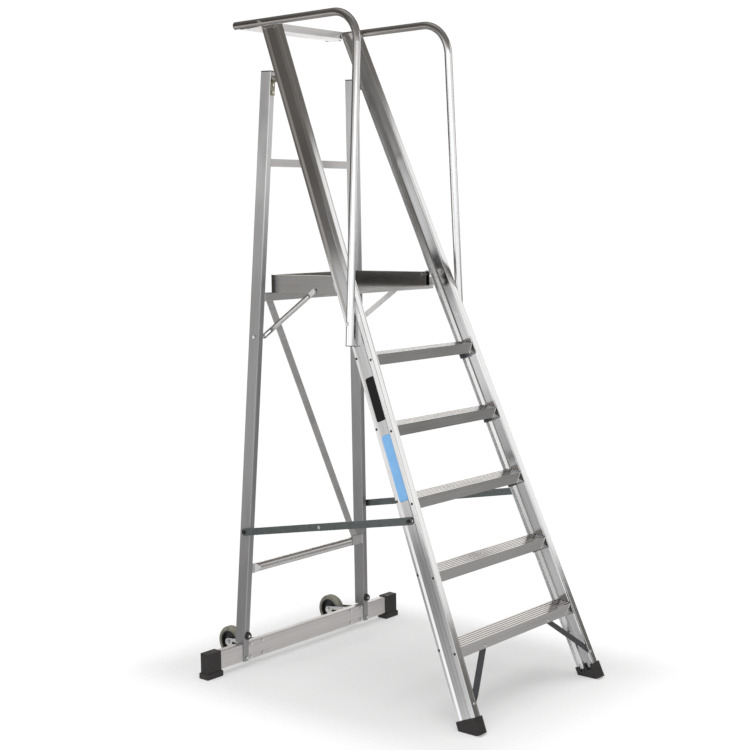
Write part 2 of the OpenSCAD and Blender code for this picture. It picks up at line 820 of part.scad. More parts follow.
module tread_brace() {
    difference() {
        intersection() {
            along_x(0, stile_half) brace_side();
            translate([0, 4 * spare, 0]) rotate([90, 0, 0]) linear_extrude(8 * spare) brace_outline();
        }
        at_brace_foot() hole(rivet_d, stile_wall + 3 * brace_t);
        at_brace_lip() hole(rivet_d, tread_wall + 2 * brace_t);
    }
}

module tread_brace_left() { color(anthracite) placed() sided(-1) tread_brace(); }
module tread_brace_right() { color(anthracite) placed() sided(1) tread_brace(); }

module brace_rivets() {
    color(zinc) placed() both_sides() {
        at_brace_foot() rivet(rivet_d, rivet_head_d, rivet_head_h, brace_run + stile_wall + bond);
        at_brace_lip() rivet(rivet_d, rivet_head_d, rivet_head_h, brace_run + tread_wall);
    }
}

// Handrails: a bent tube on the outside of the stile

module tube_ring() {
    difference() {
        circle(r = rail_r);
        circle(r = rail_r - rail_wall);
    }
}

module at_tray_screw() {
    translate([rail_half, tray_screw_y, tray_z - tray_t]) rotate([180, 0, 0]) children();
}

// The tube about the centre of its bend: the upright in front, the level run behind
module rail_tube() {
    upright = rail_zl - rail_bend - rail_low / cos(stile_taper);
    rotate([90, 0, 90]) {
        rotate([0, 0, 90]) rotate_extrude(angle = 90) translate([rail_bend, 0]) tube_ring();
        translate([-rail_bend, 0, 0]) rotate([90, 0, 0]) linear_extrude(upright) tube_ring();
        translate([0, rail_bend, 0]) rotate([0, 90, 0]) linear_extrude(rail_reach - rail_bend) tube_ring();
    }
}

module handrail() {
    difference() {
        web_frame() translate([rail_x, rail_y + rail_bend, rail_zl - rail_bend]) rail_tube();
        at_rail_bolts() hole(bolt_d, rail_d + rail_r);
        at_tray_screw() hole(screw_d, tray_t + 2 * rail_wall);
    }
}

module handrail_left() { color(alloy) placed() sided(-1) handrail(); }
module handrail_right() { color(alloy) placed() sided(1) handrail(); }

// End plug with its disc below z = 0 and its shank above
module end_plug() {
    translate([0, 0, -plug_t]) cylinder(r = rail_r, h = plug_t);
    translate([0, 0, -plug_t / 2]) cylinder(r = rail_r - rail_wall - fit, h = plug_l + plug_t / 2);
}

module handrail_plugs() {
    color(rubber) placed() both_sides() {
        web_frame() translate([rail_x, rail_y, rail_low / cos(stile_taper)]) end_plug();
        web_frame() translate([rail_x, rail_end_y, rail_zl]) rotate([90, 0, 0]) end_plug();
    }
}

// Top tray: a folded sheet under the two handrails

module top_tray() {
    half = rail_half + screw_head_d / 2;
    color(dull_alloy) placed() difference() {
        union() {
            translate([-half, tray_y, tray_z - tray_t]) cube([2 * half, tray_depth, tray_t]);
            translate([-rail_half + rail_d, tray_y, tray_z - bond])
                cube([2 * rail_half - 2 * rail_d, tray_t, tray_lip + bond - tray_t]);
            translate([-rail_half + rail_d, tray_y + tray_depth - tray_t, tray_z - bond])
                cube([2 * rail_half - 2 * rail_d, tray_t, tray_rear_lip + bond]);
        }
        both_sides() at_tray_screw() hole(screw_d, 2 * tray_t);
    }
}

// Bolts of the front section: handrails, hinge leaves, platform brackets and tray

module front_bolts() {
    rail_shank = rail_d + fit + web_inner;
    color(zinc) placed() both_sides() {
        at_rail_bolts() bolt(bolt_d, bolt_head_d, bolt_head_h, rail_shank);
        at_front_leaf_bolts() bolt(screw_d, screw_head_d, screw_head_h, leaf_t + stile_wall);
        at_ear_bolts() bolt(screw_d, screw_head_d, screw_head_h, ear_t + stile_wall);
        at_tray_screw() bolt(screw_d, screw_head_d, screw_head_h, tray_t + rail_wall);
    }
}

// Hinges: two leaves that share one pin on each side

// Knuckle length along X, centred on the hinge
module knuckle(x0, x1) {
    difference() {
        translate([hinge_x, hinge_y, hinge_z]) bar_x(2 * knuckle_r, x0, x1);
        translate([hinge_x, hinge_y, hinge_z]) bar_x(hinge_pin_d + 2 * fit, x0 - 1, x1 + 1);
    }
}

// Web of a leaf, within the knuckle's length along X
module knuckle_web(x0, x1) {
    difference() {
        intersection() {
            children();
            translate([hinge_x + x0, hinge_y - spare, hinge_z - spare])
                cube([x1 - x0, 2 * spare, 2 * spare]);
        }
        translate([hinge_x, hinge_y, hinge_z]) bar_x(hinge_pin_d + 2 * fit, x0 - 1, x1 + 1);
    }
}

module front_leaf() {
    difference() {
        stile_frame() translate([-stile_flange / 2 - hinge_w / 2, stile_depth, hinge_s - leaf_len])
            cube([hinge_w, leaf_t, leaf_len - leaf_short]);
        at_front_leaf_bolts() hole(screw_d, 2 * leaf_t);
    }
    for (x0 = [-1.5, 0.5] * hinge_part) {
        inner = x0 < 0 ? 0 : side_gap;
        outer = x0 < 0 ? side_gap : 0;
        knuckle(x0 + inner, x0 + hinge_part - outer);
        knuckle_web(x0 + inner, x0 + hinge_part - outer) stile_frame()
            translate([-stile_flange, stile_depth + leaf_t - bond, hinge_s - knuckle_r])
            cube([stile_flange, knuckle_r + side_gap + bond, 0.8 * knuckle_r]);
    }
}

module at_rear_leaf_bolts() {
    for (drop = leaf_bolts) {
        leg_frame() translate([-leg_w / 2, -leaf_t, leg_s(hinge_z, -leaf_stand) - drop])
            rotate([90, 0, 0]) children();
    }
}

module rear_leaf() {
    axis_s = leg_s(hinge_z, -leaf_stand);
    difference() {
        leg_frame() translate([-leg_w / 2 - hinge_w / 2, -leaf_t, axis_s - leaf_len])
            cube([hinge_w, leaf_t, leaf_len]);
        at_rear_leaf_bolts() hole(screw_d, 2 * leaf_t);
    }
    knuckle(-hinge_part / 2, hinge_part / 2);
    knuckle_web(-hinge_part / 2, hinge_part / 2) leg_frame()
        translate([-leg_w, -leaf_stand, axis_s - knuckle_r])
        cube([leg_w, knuckle_r + side_gap + bond, 0.8 * knuckle_r]);
}

module hinge_front_leaves() { color(anthracite) placed() both_sides() front_leaf(); }
module hinge_rear_leaves() { color(anthracite) placed() both_sides() rear_leaf(); }

module hinge_pins() {
    ends = hinge_w / 2 + side_gap;
    color(zinc) placed() both_sides() translate([hinge_x, hinge_y, hinge_z]) {
        bar_x(hinge_pin_d, -ends - bond, ends + bond);
        for (x = [-ends - pin_head_h, ends]) {
            bar_x(pin_head_d, x, x + pin_head_h);
        }
    }
}

// Platform brackets: a foot on the rear flange of the stile and an ear beside the toe board

module platform_bracket() {
    foot_in = stile_out(pivot_z) - ear_x - ear_t / 2;
    difference() {
        union() {
            stile_frame() translate([-foot_in, stile_depth, pivot_s - ear_len - bond])
                cube([foot_in - foot_edge, ear_t, ear_len + bond - ear_clear]);
            along_x(ear_x, ear_x + ear_t) translate([pivot_y, pivot_z]) rotate(-stile_lean) {
                circle(r = ear_r);
                translate([-pivot_back - bond, -ear_len]) square([ear_r + pivot_back + bond, ear_len]);
            }
        }
        at_ear_bolts() hole(screw_d, 2 * ear_t);
        translate([0, pivot_y, pivot_z]) bar_x(bolt_d + 2 * fit, 0, stile_half);
        stile_frame() translate([-stile_flange, 0, pivot_s - 3 * spare])
            cube([stile_flange, stile_depth, 6 * spare]);
    }
}

module platform_brackets() { color(zinc) placed() both_sides() platform_bracket(); }

module platform_pins() {
    nut_x = deck_half - side_gap - bolt_head_h;
    color(zinc) placed() both_sides() translate([0, pivot_y, pivot_z]) {
        bar_x(bolt_d, nut_x, ear_x + ear_t + bolt_head_h / 2);
        bar_x(bolt_head_d, ear_x + ear_t, ear_x + ear_t + bolt_head_h);
        bar_x(bolt_head_d - 1, nut_x, deck_half - side_gap);
    }
}

// Stays: two straps on each side, pivoted on stand-off bosses

module stay_strap(x, length, front_hole_d, rear_hole_d) {
    along_x(x, x + stay_t) difference() {
        union() {
            translate([0, -stay_h / 2]) square([length, stay_h]);
            circle(d = stay_h);
            translate([length, 0]) circle(d = stay_h);
        }
        circle(d = front_hole_d);
        translate([length, 0]) circle(d = rear_hole_d);
    }
}

// Frame with its origin at the front stay pivot and its Y along the straps
module stay_frame() {
    translate([0, stay_front_y, stay_front_z]) rotate([stay_angle, 0, 0]) children();
}

module stay_front_link() {
    stay_frame() stay_strap(stay_front_x, stay_front_l, bolt_d + 2 * fit, bolt_d + 2 * fit);
}

module stay_rear_link() {
    stay_frame() translate([0, stay_front_l, 0])
        stay_strap(stay_rear_x, stay_rear_l, bolt_d + 2 * fit, bolt_d + 2 * fit);
}

// Rivet of the knee: it belongs to the front strap and ends flush with it
module stay_rivet() {
    stay_frame() translate([0, stay_front_l, 0]) {
        bar_x(bolt_d, stay_front_x, stay_front_x + stay_t + bond);
        bar_x(bolt_head_d, stay_front_x + stay_t, stay_front_x + stay_t + screw_head_h);
    }
}

module stay_front_link_left() { color(galvanised) placed() sided(-1) stay_front_link(); }
module stay_front_link_right() { color(galvanised) placed() sided(1) stay_front_link(); }
module stay_rear_link_left() { color(galvanised) placed() sided(-1) stay_rear_link(); }
module stay_rear_link_right() { color(galvanised) placed() sided(1) stay_rear_link(); }
module stay_rivet_left() { color(zinc) placed() sided(-1) stay_rivet(); }
module stay_rivet_right() { color(zinc) placed() sided(1) stay_rivet(); }

module stay_boss(x_end, y, z) {
    translate([0, y, z]) difference() {
        bar_x(2 * boss_r, 0, x_end);
        bar_x(bolt_d + 2 * fit, -bond, x_end + bond);
    }
}

module stay_front_brackets() {
    color(zinc) placed() both_sides() intersection() {
        stay_boss(stay_front_x - side_gap, stay_front_y, stay_front_z);
        stile_frame() translate([-web_recess, 0, 0])
            cube([stile_half, stile_depth, stile_s(2 * stay_front_z, 0)]);
    }
}

module stay_rear_brackets() {
    color(zinc) placed() both_sides() intersection() {
        stay_boss(stay_rear_x - side_gap, stay_rear_y, stay_rear_z);
        leg_frame() cube([leg_half, leg_d, leg_s(2 * stay_rear_z, 0)]);
    }
}

module stay_pin(strap_x, y, z, root_x) {
    translate([0, y, z]) {
        bar_x(bolt_d, root_x, strap_x + stay_t + side_gap + bolt_head_h / 2);
        bar_x(bolt_head_d, strap_x + stay_t + side_gap, strap_x + stay_t + side_gap + bolt_head_h);
    }
}

module stay_front_pins() {
    root_x = stile_out(stay_front_z - bolt_d) - web_recess / cos(stile_taper);
    color(zinc) placed() both_sides() stay_pin(stay_front_x, stay_front_y, stay_front_z, root_x);
}

module stay_rear_pins() {
    root_x = leg_out(stay_rear_z - bolt_d);
    color(zinc) placed() both_sides() stay_pin(stay_rear_x, stay_rear_y, stay_rear_z, root_x);
}

// Rear legs: rectangular tubes, notched over the base bar so that a tab hangs in front of it

// Section of a bar with rounded corners
module bar_section(w, d, corner) {
    translate([corner, 0]) square([w - 2 * corner, d]);
    translate([0, corner]) square([w, d - 2 * corner]);
    for (x = [corner, w - corner], y = [corner, d - corner]) {
        translate([x, y]) circle(r = corner);
    }
}

module tube_section(w, d, wall, corner) {
    difference() {
        bar_section(w, d, corner);
        translate([wall, wall]) bar_section(w - 2 * wall, d - 2 * wall, corner - wall);
    }
}

module at_tab_bolt() {
    leg_frame() translate([-leg_w / 2, 0, leg_s(tab_bolt_z, 0)]) rotate([90, 0, 0]) children();
}

module at_buffer() {
    leg_frame() translate([-leg_w / 2, 0, leg_s(buffer_z, 0)]) rotate([90, 0, 0]) children();
}

module at_strut_foot() {
    translate([leg_out(strut_foot_z), strut_foot_y, strut_foot_z]) rotate([0, 90, 0]) children();
}

module rear_leg() {
    length = leg_s(leg_top, 0);
    difference() {
        leg_frame() linear_extrude(length) translate([-leg_w, 0])
            tube_section(leg_w, leg_d, leg_wall, leg_corner);
        translate([0, base_y, -spare]) cube([leg_half + spare, 4 * spare, base_top + spare]);
        translate([0, base_y - 2 * spare, -spare]) cube([leg_half + spare, 4 * spare, base_z + spare]);
        at_tab_bolt() hole(bolt_d, 2 * leg_wall);
        at_buffer() hole(screw_d, 2 * leg_wall);
        at_rear_leaf_bolts() hole(screw_d, leaf_t + 2 * leg_wall);
        at_strut_foot() hole(bolt_d, 2 * leg_w);
    }
}

module rear_leg_left() { color(alloy) placed() sided(-1) rear_leg(); }
module rear_leg_right() { color(alloy) placed() sided(1) rear_leg(); }

module leg_caps() {
    plug = [leg_w - 2 * leg_wall - 2 * fit, leg_d - 2 * leg_wall - 2 * fit];
    color(rubber) placed() both_sides() leg_frame() translate([0, 0, leg_s(leg_top, 0)]) {
        translate([-leg_w, 0, 0]) linear_extrude(cap_t) bar_section(leg_w, leg_d, leg_corner);
        translate([-leg_w / 2 - plug[0] / 2, leg_d / 2 - plug[1] / 2, -3 * cap_t])
            linear_extrude(3 * cap_t + cap_t / 2) bar_section(plug[0], plug[1], leg_corner - leg_wall);
    }
}

// Cross members between the legs

module upper_crossbar() {
    color(dull_alloy) placed() intersection() {
        translate([0, leg_front(upper_bar_z), upper_bar_z]) rotate([leg_lean, 0, 0])
            along_x(-leg_half, leg_half) translate([leg_corner, 0]) square([upper_bar_t, upper_bar_h]);
        between_legs(upper_bar_z - spare, upper_bar_z + upper_bar_h + spare);
    }
}

module platform_bar() {
    low = seat_bar_top - seat_bar_h;
    color(dull_alloy) placed() difference() {
        intersection() {
            translate([0, seat_bar_y, low]) along_x(-leg_half, leg_half)
                tube_section(seat_bar_d, seat_bar_h, seat_bar_wall, seat_bar_corner);
            between_legs(low - spare, seat_bar_top + spare);
        }
        at_diag_top() hole(bolt_d, diag_t + diag_gap + 3 * seat_bar_wall);
    }
}

// Flattened end of the lower cross tube, from the neck out to the leg
module cross_flat(x0, x1) {
    translate([x0, -flat_t / 2, -cross_flat_h / 2]) cube([x1 - x0, flat_t, cross_flat_h]);
}

module cross_frame() {
    translate([0, cross_y, cross_z]) rotate([leg_lean, 0, 0]) children();
}

// One half of the lower cross tube, from the middle to the right leg
module cross_half(flat) {
    flat_x = leg_in(cross_z) - flat;
    neck_x = flat_x - cross_neck;
    cross_frame() {
        difference() {
            bar_x(cross_d, -bond, neck_x);
            bar_x(cross_d - 2 * cross_wall, -2 * bond, neck_x - 2 * cross_wall);
        }
        hull() {
            bar_x(cross_d - 2 * bond, neck_x - bond, neck_x, $fn = 32);
            cross_flat(flat_x, flat_x + bond);
        }
        cross_flat(flat_x, leg_half);
    }
}

module lower_cross_tube() {
    color(dull_alloy) placed() difference() {
        intersection() {
            union() {
                sided(-1) cross_half(flat_short);
                sided(1) cross_half(flat_len);
            }
            between_legs(cross_z - spare, cross_z + spare);
        }
        at_diag_foot() hole(bolt_d, diag_t + diag_gap + 3 * flat_t);
    }
}

// Diagonal brace: a flat strap from behind the platform bar to behind the far end of the cross tube

// Frame at the upper end, with its rear face at y = 0 and the strap along -Z
module diag_frame() {
    translate([diag_top[0], diag_top[1] + diag_gap + diag_t, diag_top[2]]) rotate([diag_tilt, 0, 0])
        rotate([0, -diag_turn, 0]) children();
}

module at_diag_top() {
    diag_frame() rotate([-90, 0, 0]) children();
}

module at_diag_foot() {
    diag_frame() translate([0, 0, -diag_len]) rotate([-90, 0, 0]) children();
}

module diagonal_brace() {
    color(dull_alloy) placed() difference() {
        diag_frame() translate([0, -diag_t, 0]) rotate([-90, 0, 0]) linear_extrude(diag_t) {
            translate([-diag_w / 2, 0]) square([diag_w, diag_len]);
            circle(d = diag_w);
            translate([0, diag_len]) circle(d = diag_w);
        }
        at_diag_top() hole(bolt_d, 2 * diag_t);
        at_diag_foot() hole(bolt_d, 2 * diag_t);
    }
}

// Base bar, boots and buffers

module at_fork_bolts() {
    for (dx = [-fork_bolt_half, fork_bolt_half], z = fork_bolt_z) {
        translate([wheel_x + dx, base_back_y + fork_t, z]) rotate([-90, 0, 0]) children();
    }
}

module base_bar() {
    color(alloy) placed() difference() {
        translate([0, base_y, base_z]) along_x(-base_half, base_half)
            tube_section(base_d, base_h, base_wall, base_corner);
        both_sides() at_tab_bolt() hole(bolt_d, base_setback + leg_d / 2);
        both_sides() at_fork_bolts() hole(bolt_d, base_d + 2 * fork_t);
    }
}

// Outline of a boot between two walls, with its proud foot
module boot_outline(from, to) {
    top = base_top + boot_wall;
    edge = boot_flare / 2;
    polygon([[from, top], [to, top], [to, boot_foot + edge], [to + boot_flare, boot_foot - edge],
        [to + boot_flare, edge], [to + edge, 0], [from - edge, 0], [from - boot_flare, edge],
        [from - boot_flare, boot_foot - edge], [from, boot_foot + edge]]);
}

module base_boot() {
    color(rubber) placed() difference() {
        intersection() {
            along_x(0, base_half + spare) boot_outline(base_y - boot_wall, base_back_y + boot_wall);
            translate([0, 2 * base_y, 0]) rotate([90, 0, 0]) linear_extrude(2 * base_y)
                boot_outline(base_half - boot_len + boot_wall, base_half + boot_wall);
        }
        translate([0, base_y, base_z]) cube([base_half, base_d, base_h]);
    }
}

module base_boot_left() { sided(-1) base_boot(); }
module base_boot_right() { sided(1) base_boot(); }

module buffers() {
    color(rubber) placed() both_sides() at_buffer() difference() {
        rotate_extrude() polygon([[0, 0], [buffer_d / 2, 0], [buffer_d / 2, 0.4 * buffer_h],
            [0.38 * buffer_d, buffer_h], [0, buffer_h]]);
        translate([0, 0, buffer_h - screw_head_h]) cylinder(d = screw_head_d + 2, h = spare);
        translate([0, 0, -1]) cylinder(d = screw_d + 2 * fit, h = spare);
    }
}

// Bolts of the rear frame

// Bolt through the base bar, with a nut on its front
module fork_bolt() {
    grip = fork_t + base_d;
    bolt(bolt_d, bolt_head_d, bolt_head_h, grip + bolt_head_h);
    translate([0, 0, -grip - bolt_head_h]) cylinder(d = bolt_head_d, h = bolt_head_h, $fn = 6);
}

module rear_frame_bolts() {
    tab_shank = base_setback + leg_d / 4;
    color(zinc) placed() {
        both_sides() {
            at_tab_bolt() bolt(bolt_d, bolt_head_d, bolt_head_h, tab_shank);
            at_fork_bolts() fork_bolt();
            at_rear_leaf_bolts() bolt(screw_d, screw_head_d, screw_head_h, leaf_t + leg_wall);
            at_buffer() translate([0, 0, buffer_h - screw_head_h])
                bolt(screw_d, screw_head_d, screw_head_h, buffer_h - screw_head_h + leg_wall, 24);
        }
        at_diag_top() bolt(bolt_d, bolt_head_d, bolt_head_h, diag_t + diag_gap + seat_bar_wall);
        at_diag_foot() bolt(bolt_d, bolt_head_d, bolt_head_h, diag_t + diag_gap + flat_t);
    }
}

// Wheel forks: a base plate on the bar and two slotted cheeks

module fork_cheek() {
    difference() {
        union() {
            polygon([[base_back_y, fork_low], [axle_y, axle_z - fork_r], [axle_y, axle_z + fork_r],
                [base_back_y, fork_high]]);
            translate([axle_y, axle_z]) circle(r = fork_r);
        }
        translate([axle_y, axle_z]) circle(d = axle_d + 2 * fit);
        translate([base_back_y + fork_slot_front, axle_z - fork_slot_r])
            square([axle_back - fork_slot_front - fork_slot_rear, 2 * fork_slot_r]);
        for (y = [base_back_y + fork_slot_front, axle_y - fork_slot_rear]) {
            translate([y, axle_z]) circle(r = fork_slot_r);
        }
    }
}

module wheel_fork() {
    plate_half = fork_bolt_half + bolt_head_d / 2 + fork_margin;
    difference() {
        union() {
            translate([wheel_x - plate_half, base_back_y, fork_low])
                cube([2 * plate_half, fork_t, fork_high - fork_low]);
            along_x(wheel_x + fork_half, wheel_x + fork_half + fork_t) fork_cheek();
            along_x(wheel_x - fork_half - fork_t, wheel_x - fork_half) fork_cheek();
        }
        at_fork_bolts() hole(bolt_d, 2 * fork_t);
    }
}

module wheel_brackets() { color(zinc) placed() both_sides() wheel_fork(); }

module wheel_axles() {
    ends = fork_half + fork_t;
    color(zinc) placed() both_sides() translate([wheel_x, axle_y, axle_z]) {
        bar_x(axle_d, -ends - bond, ends + bond);
        bar_x(axle_head_d, ends, ends + bolt_head_h);
        bar_x(axle_head_d, -ends - bolt_head_h, -ends);
    }
}

// Wheels: a rubber tyre on a moulded hub

module wheel_turned() {
    translate([wheel_x, axle_y, axle_z]) rotate([0, 90, 0]) children();
}

module tyre() {
    shoulder = wheel_d / 2 - crown_drop;
    color(tyre_grey) placed() wheel_turned() rotate_extrude($fn = 96)
        polygon([[rim_r, -crown_r], [shoulder, -crown_r], [wheel_d / 2, -crown_r + crown_run],
            [wheel_d / 2, crown_r - crown_run], [shoulder, crown_r], [rim_r, crown_r]]);
}

module hub() {
    bore_r = axle_d / 2 + fit;
    barrel_end = crown_r + barrel_over;
    rim_in = rim_r - rim_t;
    rim_end = crown_r - barrel_over;
    color(rubber) placed() wheel_turned() rotate_extrude($fn = 96)
        polygon([[bore_r, -barrel_end], [barrel_r, -barrel_end], [barrel_r, -disc_half],
            [rim_in, -disc_half], [rim_in, -rim_end], [rim_r, -rim_end],
            [rim_r, rim_end], [rim_in, rim_end], [rim_in, disc_half], [barrel_r, disc_half],
            [barrel_r, barrel_end], [bore_r, barrel_end]]);
}

module tyre_left() { sided(-1) tyre(); }
module tyre_right() { sided(1) tyre(); }
module hub_left() { sided(-1) hub(); }
module hub_right() { sided(1) hub(); }

// Platform: a deck inside a hollow toe board that is open at its front ends

// Plan with a straight front and rounded rear corners
module plan(half, front, rear, corner) {
    translate([-half, front]) square([2 * half, rear - corner - front]);
    translate([-half + corner, front]) square([2 * (half - corner), rear - front]);
    for (x = [-half + corner, half - corner]) {
        translate([x, rear - corner]) circle(r = corner, $fn = 96);
    }
}

// Plan inside the toe board's outer face by a distance
module plan_in(inset, front) {
    plan(platform_half - inset, front, toe_rear - inset, toe_corner - inset);
}

module at_strut_bolt() {
    translate([strut_out, strut_y, strut_z]) rotate([0, 90, 0]) children();
}

module toe_board() {
    color(dull_alloy) placed() difference() {
        union() {
            translate([0, 0, toe_z]) linear_extrude(toe_h) difference() {
                plan_in(0, toe_front);
                plan_in(toe_t, toe_front - 1);
            }
            translate([0, 0, toe_z]) linear_extrude(ledge_t) difference() {
                plan_in(toe_t - bond, toe_front);
                plan_in(toe_t + ledge_w, toe_front - 1);
            }
        }
        translate([0, 0, toe_z + toe_wall]) linear_extrude(toe_h - 2 * toe_wall) difference() {
            plan_in(toe_wall, toe_front - 1);
            plan_in(toe_t - toe_wall, toe_front - 2);
        }
        translate([0, pivot_y, pivot_z]) bar_x(bolt_d + 2 * fit, -stile_half, stile_half);
        both_sides() at_strut_bolt() hole(bolt_d, strut_t + toe_t / 2);
        both_sides() at_deck_rivets() hole(rivet_d, 2 * ledge_t);
    }
}

module at_deck_rivets() {
    for (y = deck_rivet_y) {
        translate([deck_rivet_x, y, toe_z]) rotate([180, 0, 0]) children();
    }
}

module deck() {
    color(alloy) placed() difference() {
        union() {
            translate([0, 0, deck_under]) linear_extrude(deck_t) plan_in(toe_t, deck_front);
            intersection() {
                translate([0, 0, deck_under]) linear_extrude(spare) plan_in(toe_t, deck_front);
                for (y = [deck_front : deck_rib_pitch : toe_rear - toe_t]) {
                    translate([-platform_half, y, deck_under + bond])
                        cube([2 * platform_half, rib_w / 2, deck_t + rib_h - bond]);
                }
            }
            translate([0, 0, ledge_top]) linear_extrude(deck_under - ledge_top + bond) difference() {
                plan_in(toe_t, toe_front);
                plan_in(toe_t + deck_leg_w, toe_front - 1);
            }
            translate([-deck_half, deck_front, deck_under - deck_lip])
                cube([2 * deck_half, deck_t, deck_lip + bond]);
        }
        both_sides() at_deck_rivets() hole(rivet_d, 2 * toe_drop);
    }
}

module deck_rivets() {
    color(zinc) placed() both_sides() at_deck_rivets()
        rivet(rivet_d, rivet_head_d, rivet_head_h / 2, deck_top - rib_h - toe_z);
}

// Struts: flattened tubes from the toe board to the rear legs

module strut() {
    crown_radius = (strut_w * strut_w / 4 + strut_crown * strut_crown) / (2 * strut_crown);
    crown_from = 1.6 * strut_w;
    crown_to = strut_len - strut_slot - 1.4 * strut_w;
    translate([0, strut_y, strut_z]) rotate([strut_angle, 0, 0]) {
        along_x(strut_x, strut_out) difference() {
            union() {
                translate([0, -strut_w / 2]) square([strut_len, strut_w]);
                circle(d = strut_w);
                translate([strut_len, 0]) circle(d = strut_w);
            }
            circle(d = bolt_d + 2 * fit);
            translate([strut_len - strut_slot, -strut_slot_w / 2]) square([strut_slot, strut_slot_w]);
            for (y = [strut_len - strut_slot, strut_len]) {
                translate([y, 0]) circle(d = strut_slot_w);
            }
        }
        intersection() {
            translate([strut_out + strut_crown - crown_radius, crown_from, 0]) rotate([-90, 0, 0])
                cylinder(r = crown_radius, h = crown_to - crown_from);
            translate([strut_x + strut_t / 2, 0, -strut_w]) cube([strut_w, strut_len, 2 * strut_w]);
        }
    }
}

module strut_left() { color(dull_alloy) placed() sided(-1) strut(); }
module strut_right() { color(dull_alloy) placed() sided(1) strut(); }

module strut_bolts() {
    nut_x = platform_half - toe_wall - bolt_head_h;
    head_x = strut_out + side_gap;
    color(zinc) placed() both_sides() translate([0, strut_y, strut_z]) {
        bar_x(bolt_d, nut_x, head_x + bolt_head_h / 2);
        bar_x(bolt_head_d - 1, nut_x, platform_half - toe_wall);
        bar_x(bolt_head_d - 1, head_x, head_x + 0.8 * bolt_head_h);
    }
}

// Strut pins: a spacer on the inner face of the leg, with the bolt head outside
module strut_pins() {
    color(zinc) placed() both_sides() {
        difference() {
            translate([0, strut_foot_y, strut_foot_z]) union() {
                bar_x(bolt_head_d, strut_out + side_gap + 0.1, leg_out(strut_foot_z) - leg_w / 2);
                bar_x(bolt_d, strut_out + 1, leg_out(strut_foot_z) + bolt_head_h / 2);
            }
            strut_leg_room();
        }
        intersection() {
            at_strut_foot() translate([0, 0, -bolt_head_h]) cylinder(d = bolt_head_d, h = 2 * bolt_head_h);
            leg_frame() cube([spare, leg_d, leg_s(leg_top, 0)]);
        }
    }
}

// The leg tube without its bore for the strut bolt
module strut_leg_room() {
    difference() {
        leg_frame() translate([-leg_w, 0, 0]) cube([leg_w, leg_d, leg_s(leg_top, 0)]);
        translate([0, strut_foot_y, strut_foot_z]) bar_x(bolt_d, 0, leg_half);
    }
}

stile_left();
stile_right();
tread_1();
tread_2();
tread_3();
tread_4();
tread_5();
tread_rivets();
tread_brackets();
shoe_left();
shoe_right();
tread_brace_left();
tread_brace_right();
brace_rivets();
handrail_left();
handrail_right();
handrail_plugs();
front_bolts();
top_tray();
hinge_front_leaves();
stay_front_brackets();
stay_front_pins();
platform_brackets();
platform_pins();
rear_leg_left();
rear_leg_right();
leg_caps();
upper_crossbar();
platform_bar();
lower_cross_tube();
diagonal_brace();
base_bar();
base_boot_left();
base_boot_right();
wheel_brackets();
buffers();
rear_frame_bolts();
hinge_rear_leaves();
hinge_pins();
stay_rear_brackets();
stay_rear_pins();
wheel_axles();
strut_pins();
deck();
toe_board();
deck_rivets();
strut_bolts();
strut_left();
strut_right();
stay_front_link_left();
stay_front_link_right();
stay_rivet_left();
stay_rivet_right();
stay_rear_link_left();
stay_rear_link_right();
tyre_left();
tyre_right();
hub_left();
hub_right();
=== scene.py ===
"""Looks of the podium step, in metres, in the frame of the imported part."""

import math

import bpy
import numpy as np
from mathutils import Matrix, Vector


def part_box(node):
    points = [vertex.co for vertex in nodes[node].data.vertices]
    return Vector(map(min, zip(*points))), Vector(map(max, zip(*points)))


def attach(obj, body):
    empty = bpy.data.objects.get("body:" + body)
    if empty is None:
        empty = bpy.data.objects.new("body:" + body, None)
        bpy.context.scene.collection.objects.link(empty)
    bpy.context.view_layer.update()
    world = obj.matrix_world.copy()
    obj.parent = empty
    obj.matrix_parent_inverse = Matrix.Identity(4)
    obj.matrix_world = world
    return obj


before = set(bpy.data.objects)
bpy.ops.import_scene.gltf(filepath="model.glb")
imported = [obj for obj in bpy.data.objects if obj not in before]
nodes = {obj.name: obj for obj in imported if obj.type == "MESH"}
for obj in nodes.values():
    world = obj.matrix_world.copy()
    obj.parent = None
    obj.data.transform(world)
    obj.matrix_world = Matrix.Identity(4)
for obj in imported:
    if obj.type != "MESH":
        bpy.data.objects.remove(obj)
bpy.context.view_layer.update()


# Stiles
# Two leaning aluminium channels, extruded and left in mill finish. The die draws fine lines along
# the bar, and handling leaves broad smears that turn the shine duller in patches.

STILE_LEAN = math.radians(22.6)
STILE_TAPER = math.radians(3.4607)
STILE_HALF = 0.400
MIDDLE_Y = 0.693752
RECESS = 0.003
RECESS_FRONT, RECESS_FRONT_RUN = 0.018, 0.006
RECESS_REAR, RECESS_REAR_RUN = 0.069, 0.010
RECESS_BLEND = 0.0025
MASK_LOW, MASK_HIGH = 0.3, 0.7


def group_socket(group, name, kind, way):
    """One named input or output of a shader node group."""
    group.interface.new_socket(name=name, in_out=way, socket_type=kind)


def stretched_noise(group, source, stretch, scale, detail):
    """Noise on the group's vector, drawn out by stretching its third coordinate."""
    scaled = group.nodes.new("ShaderNodeVectorMath")
    scaled.operation = "MULTIPLY"
    scaled.inputs[1].default_value = (1.0, 1.0, stretch)
    group.links.new(source, scaled.inputs[0])
    noise = group.nodes.new("ShaderNodeTexNoise")
    noise.inputs["Scale"].default_value = scale
    noise.inputs["Detail"].default_value = detail
    group.links.new(scaled.outputs["Vector"], noise.inputs["Vector"])
    return noise.outputs["Fac"]


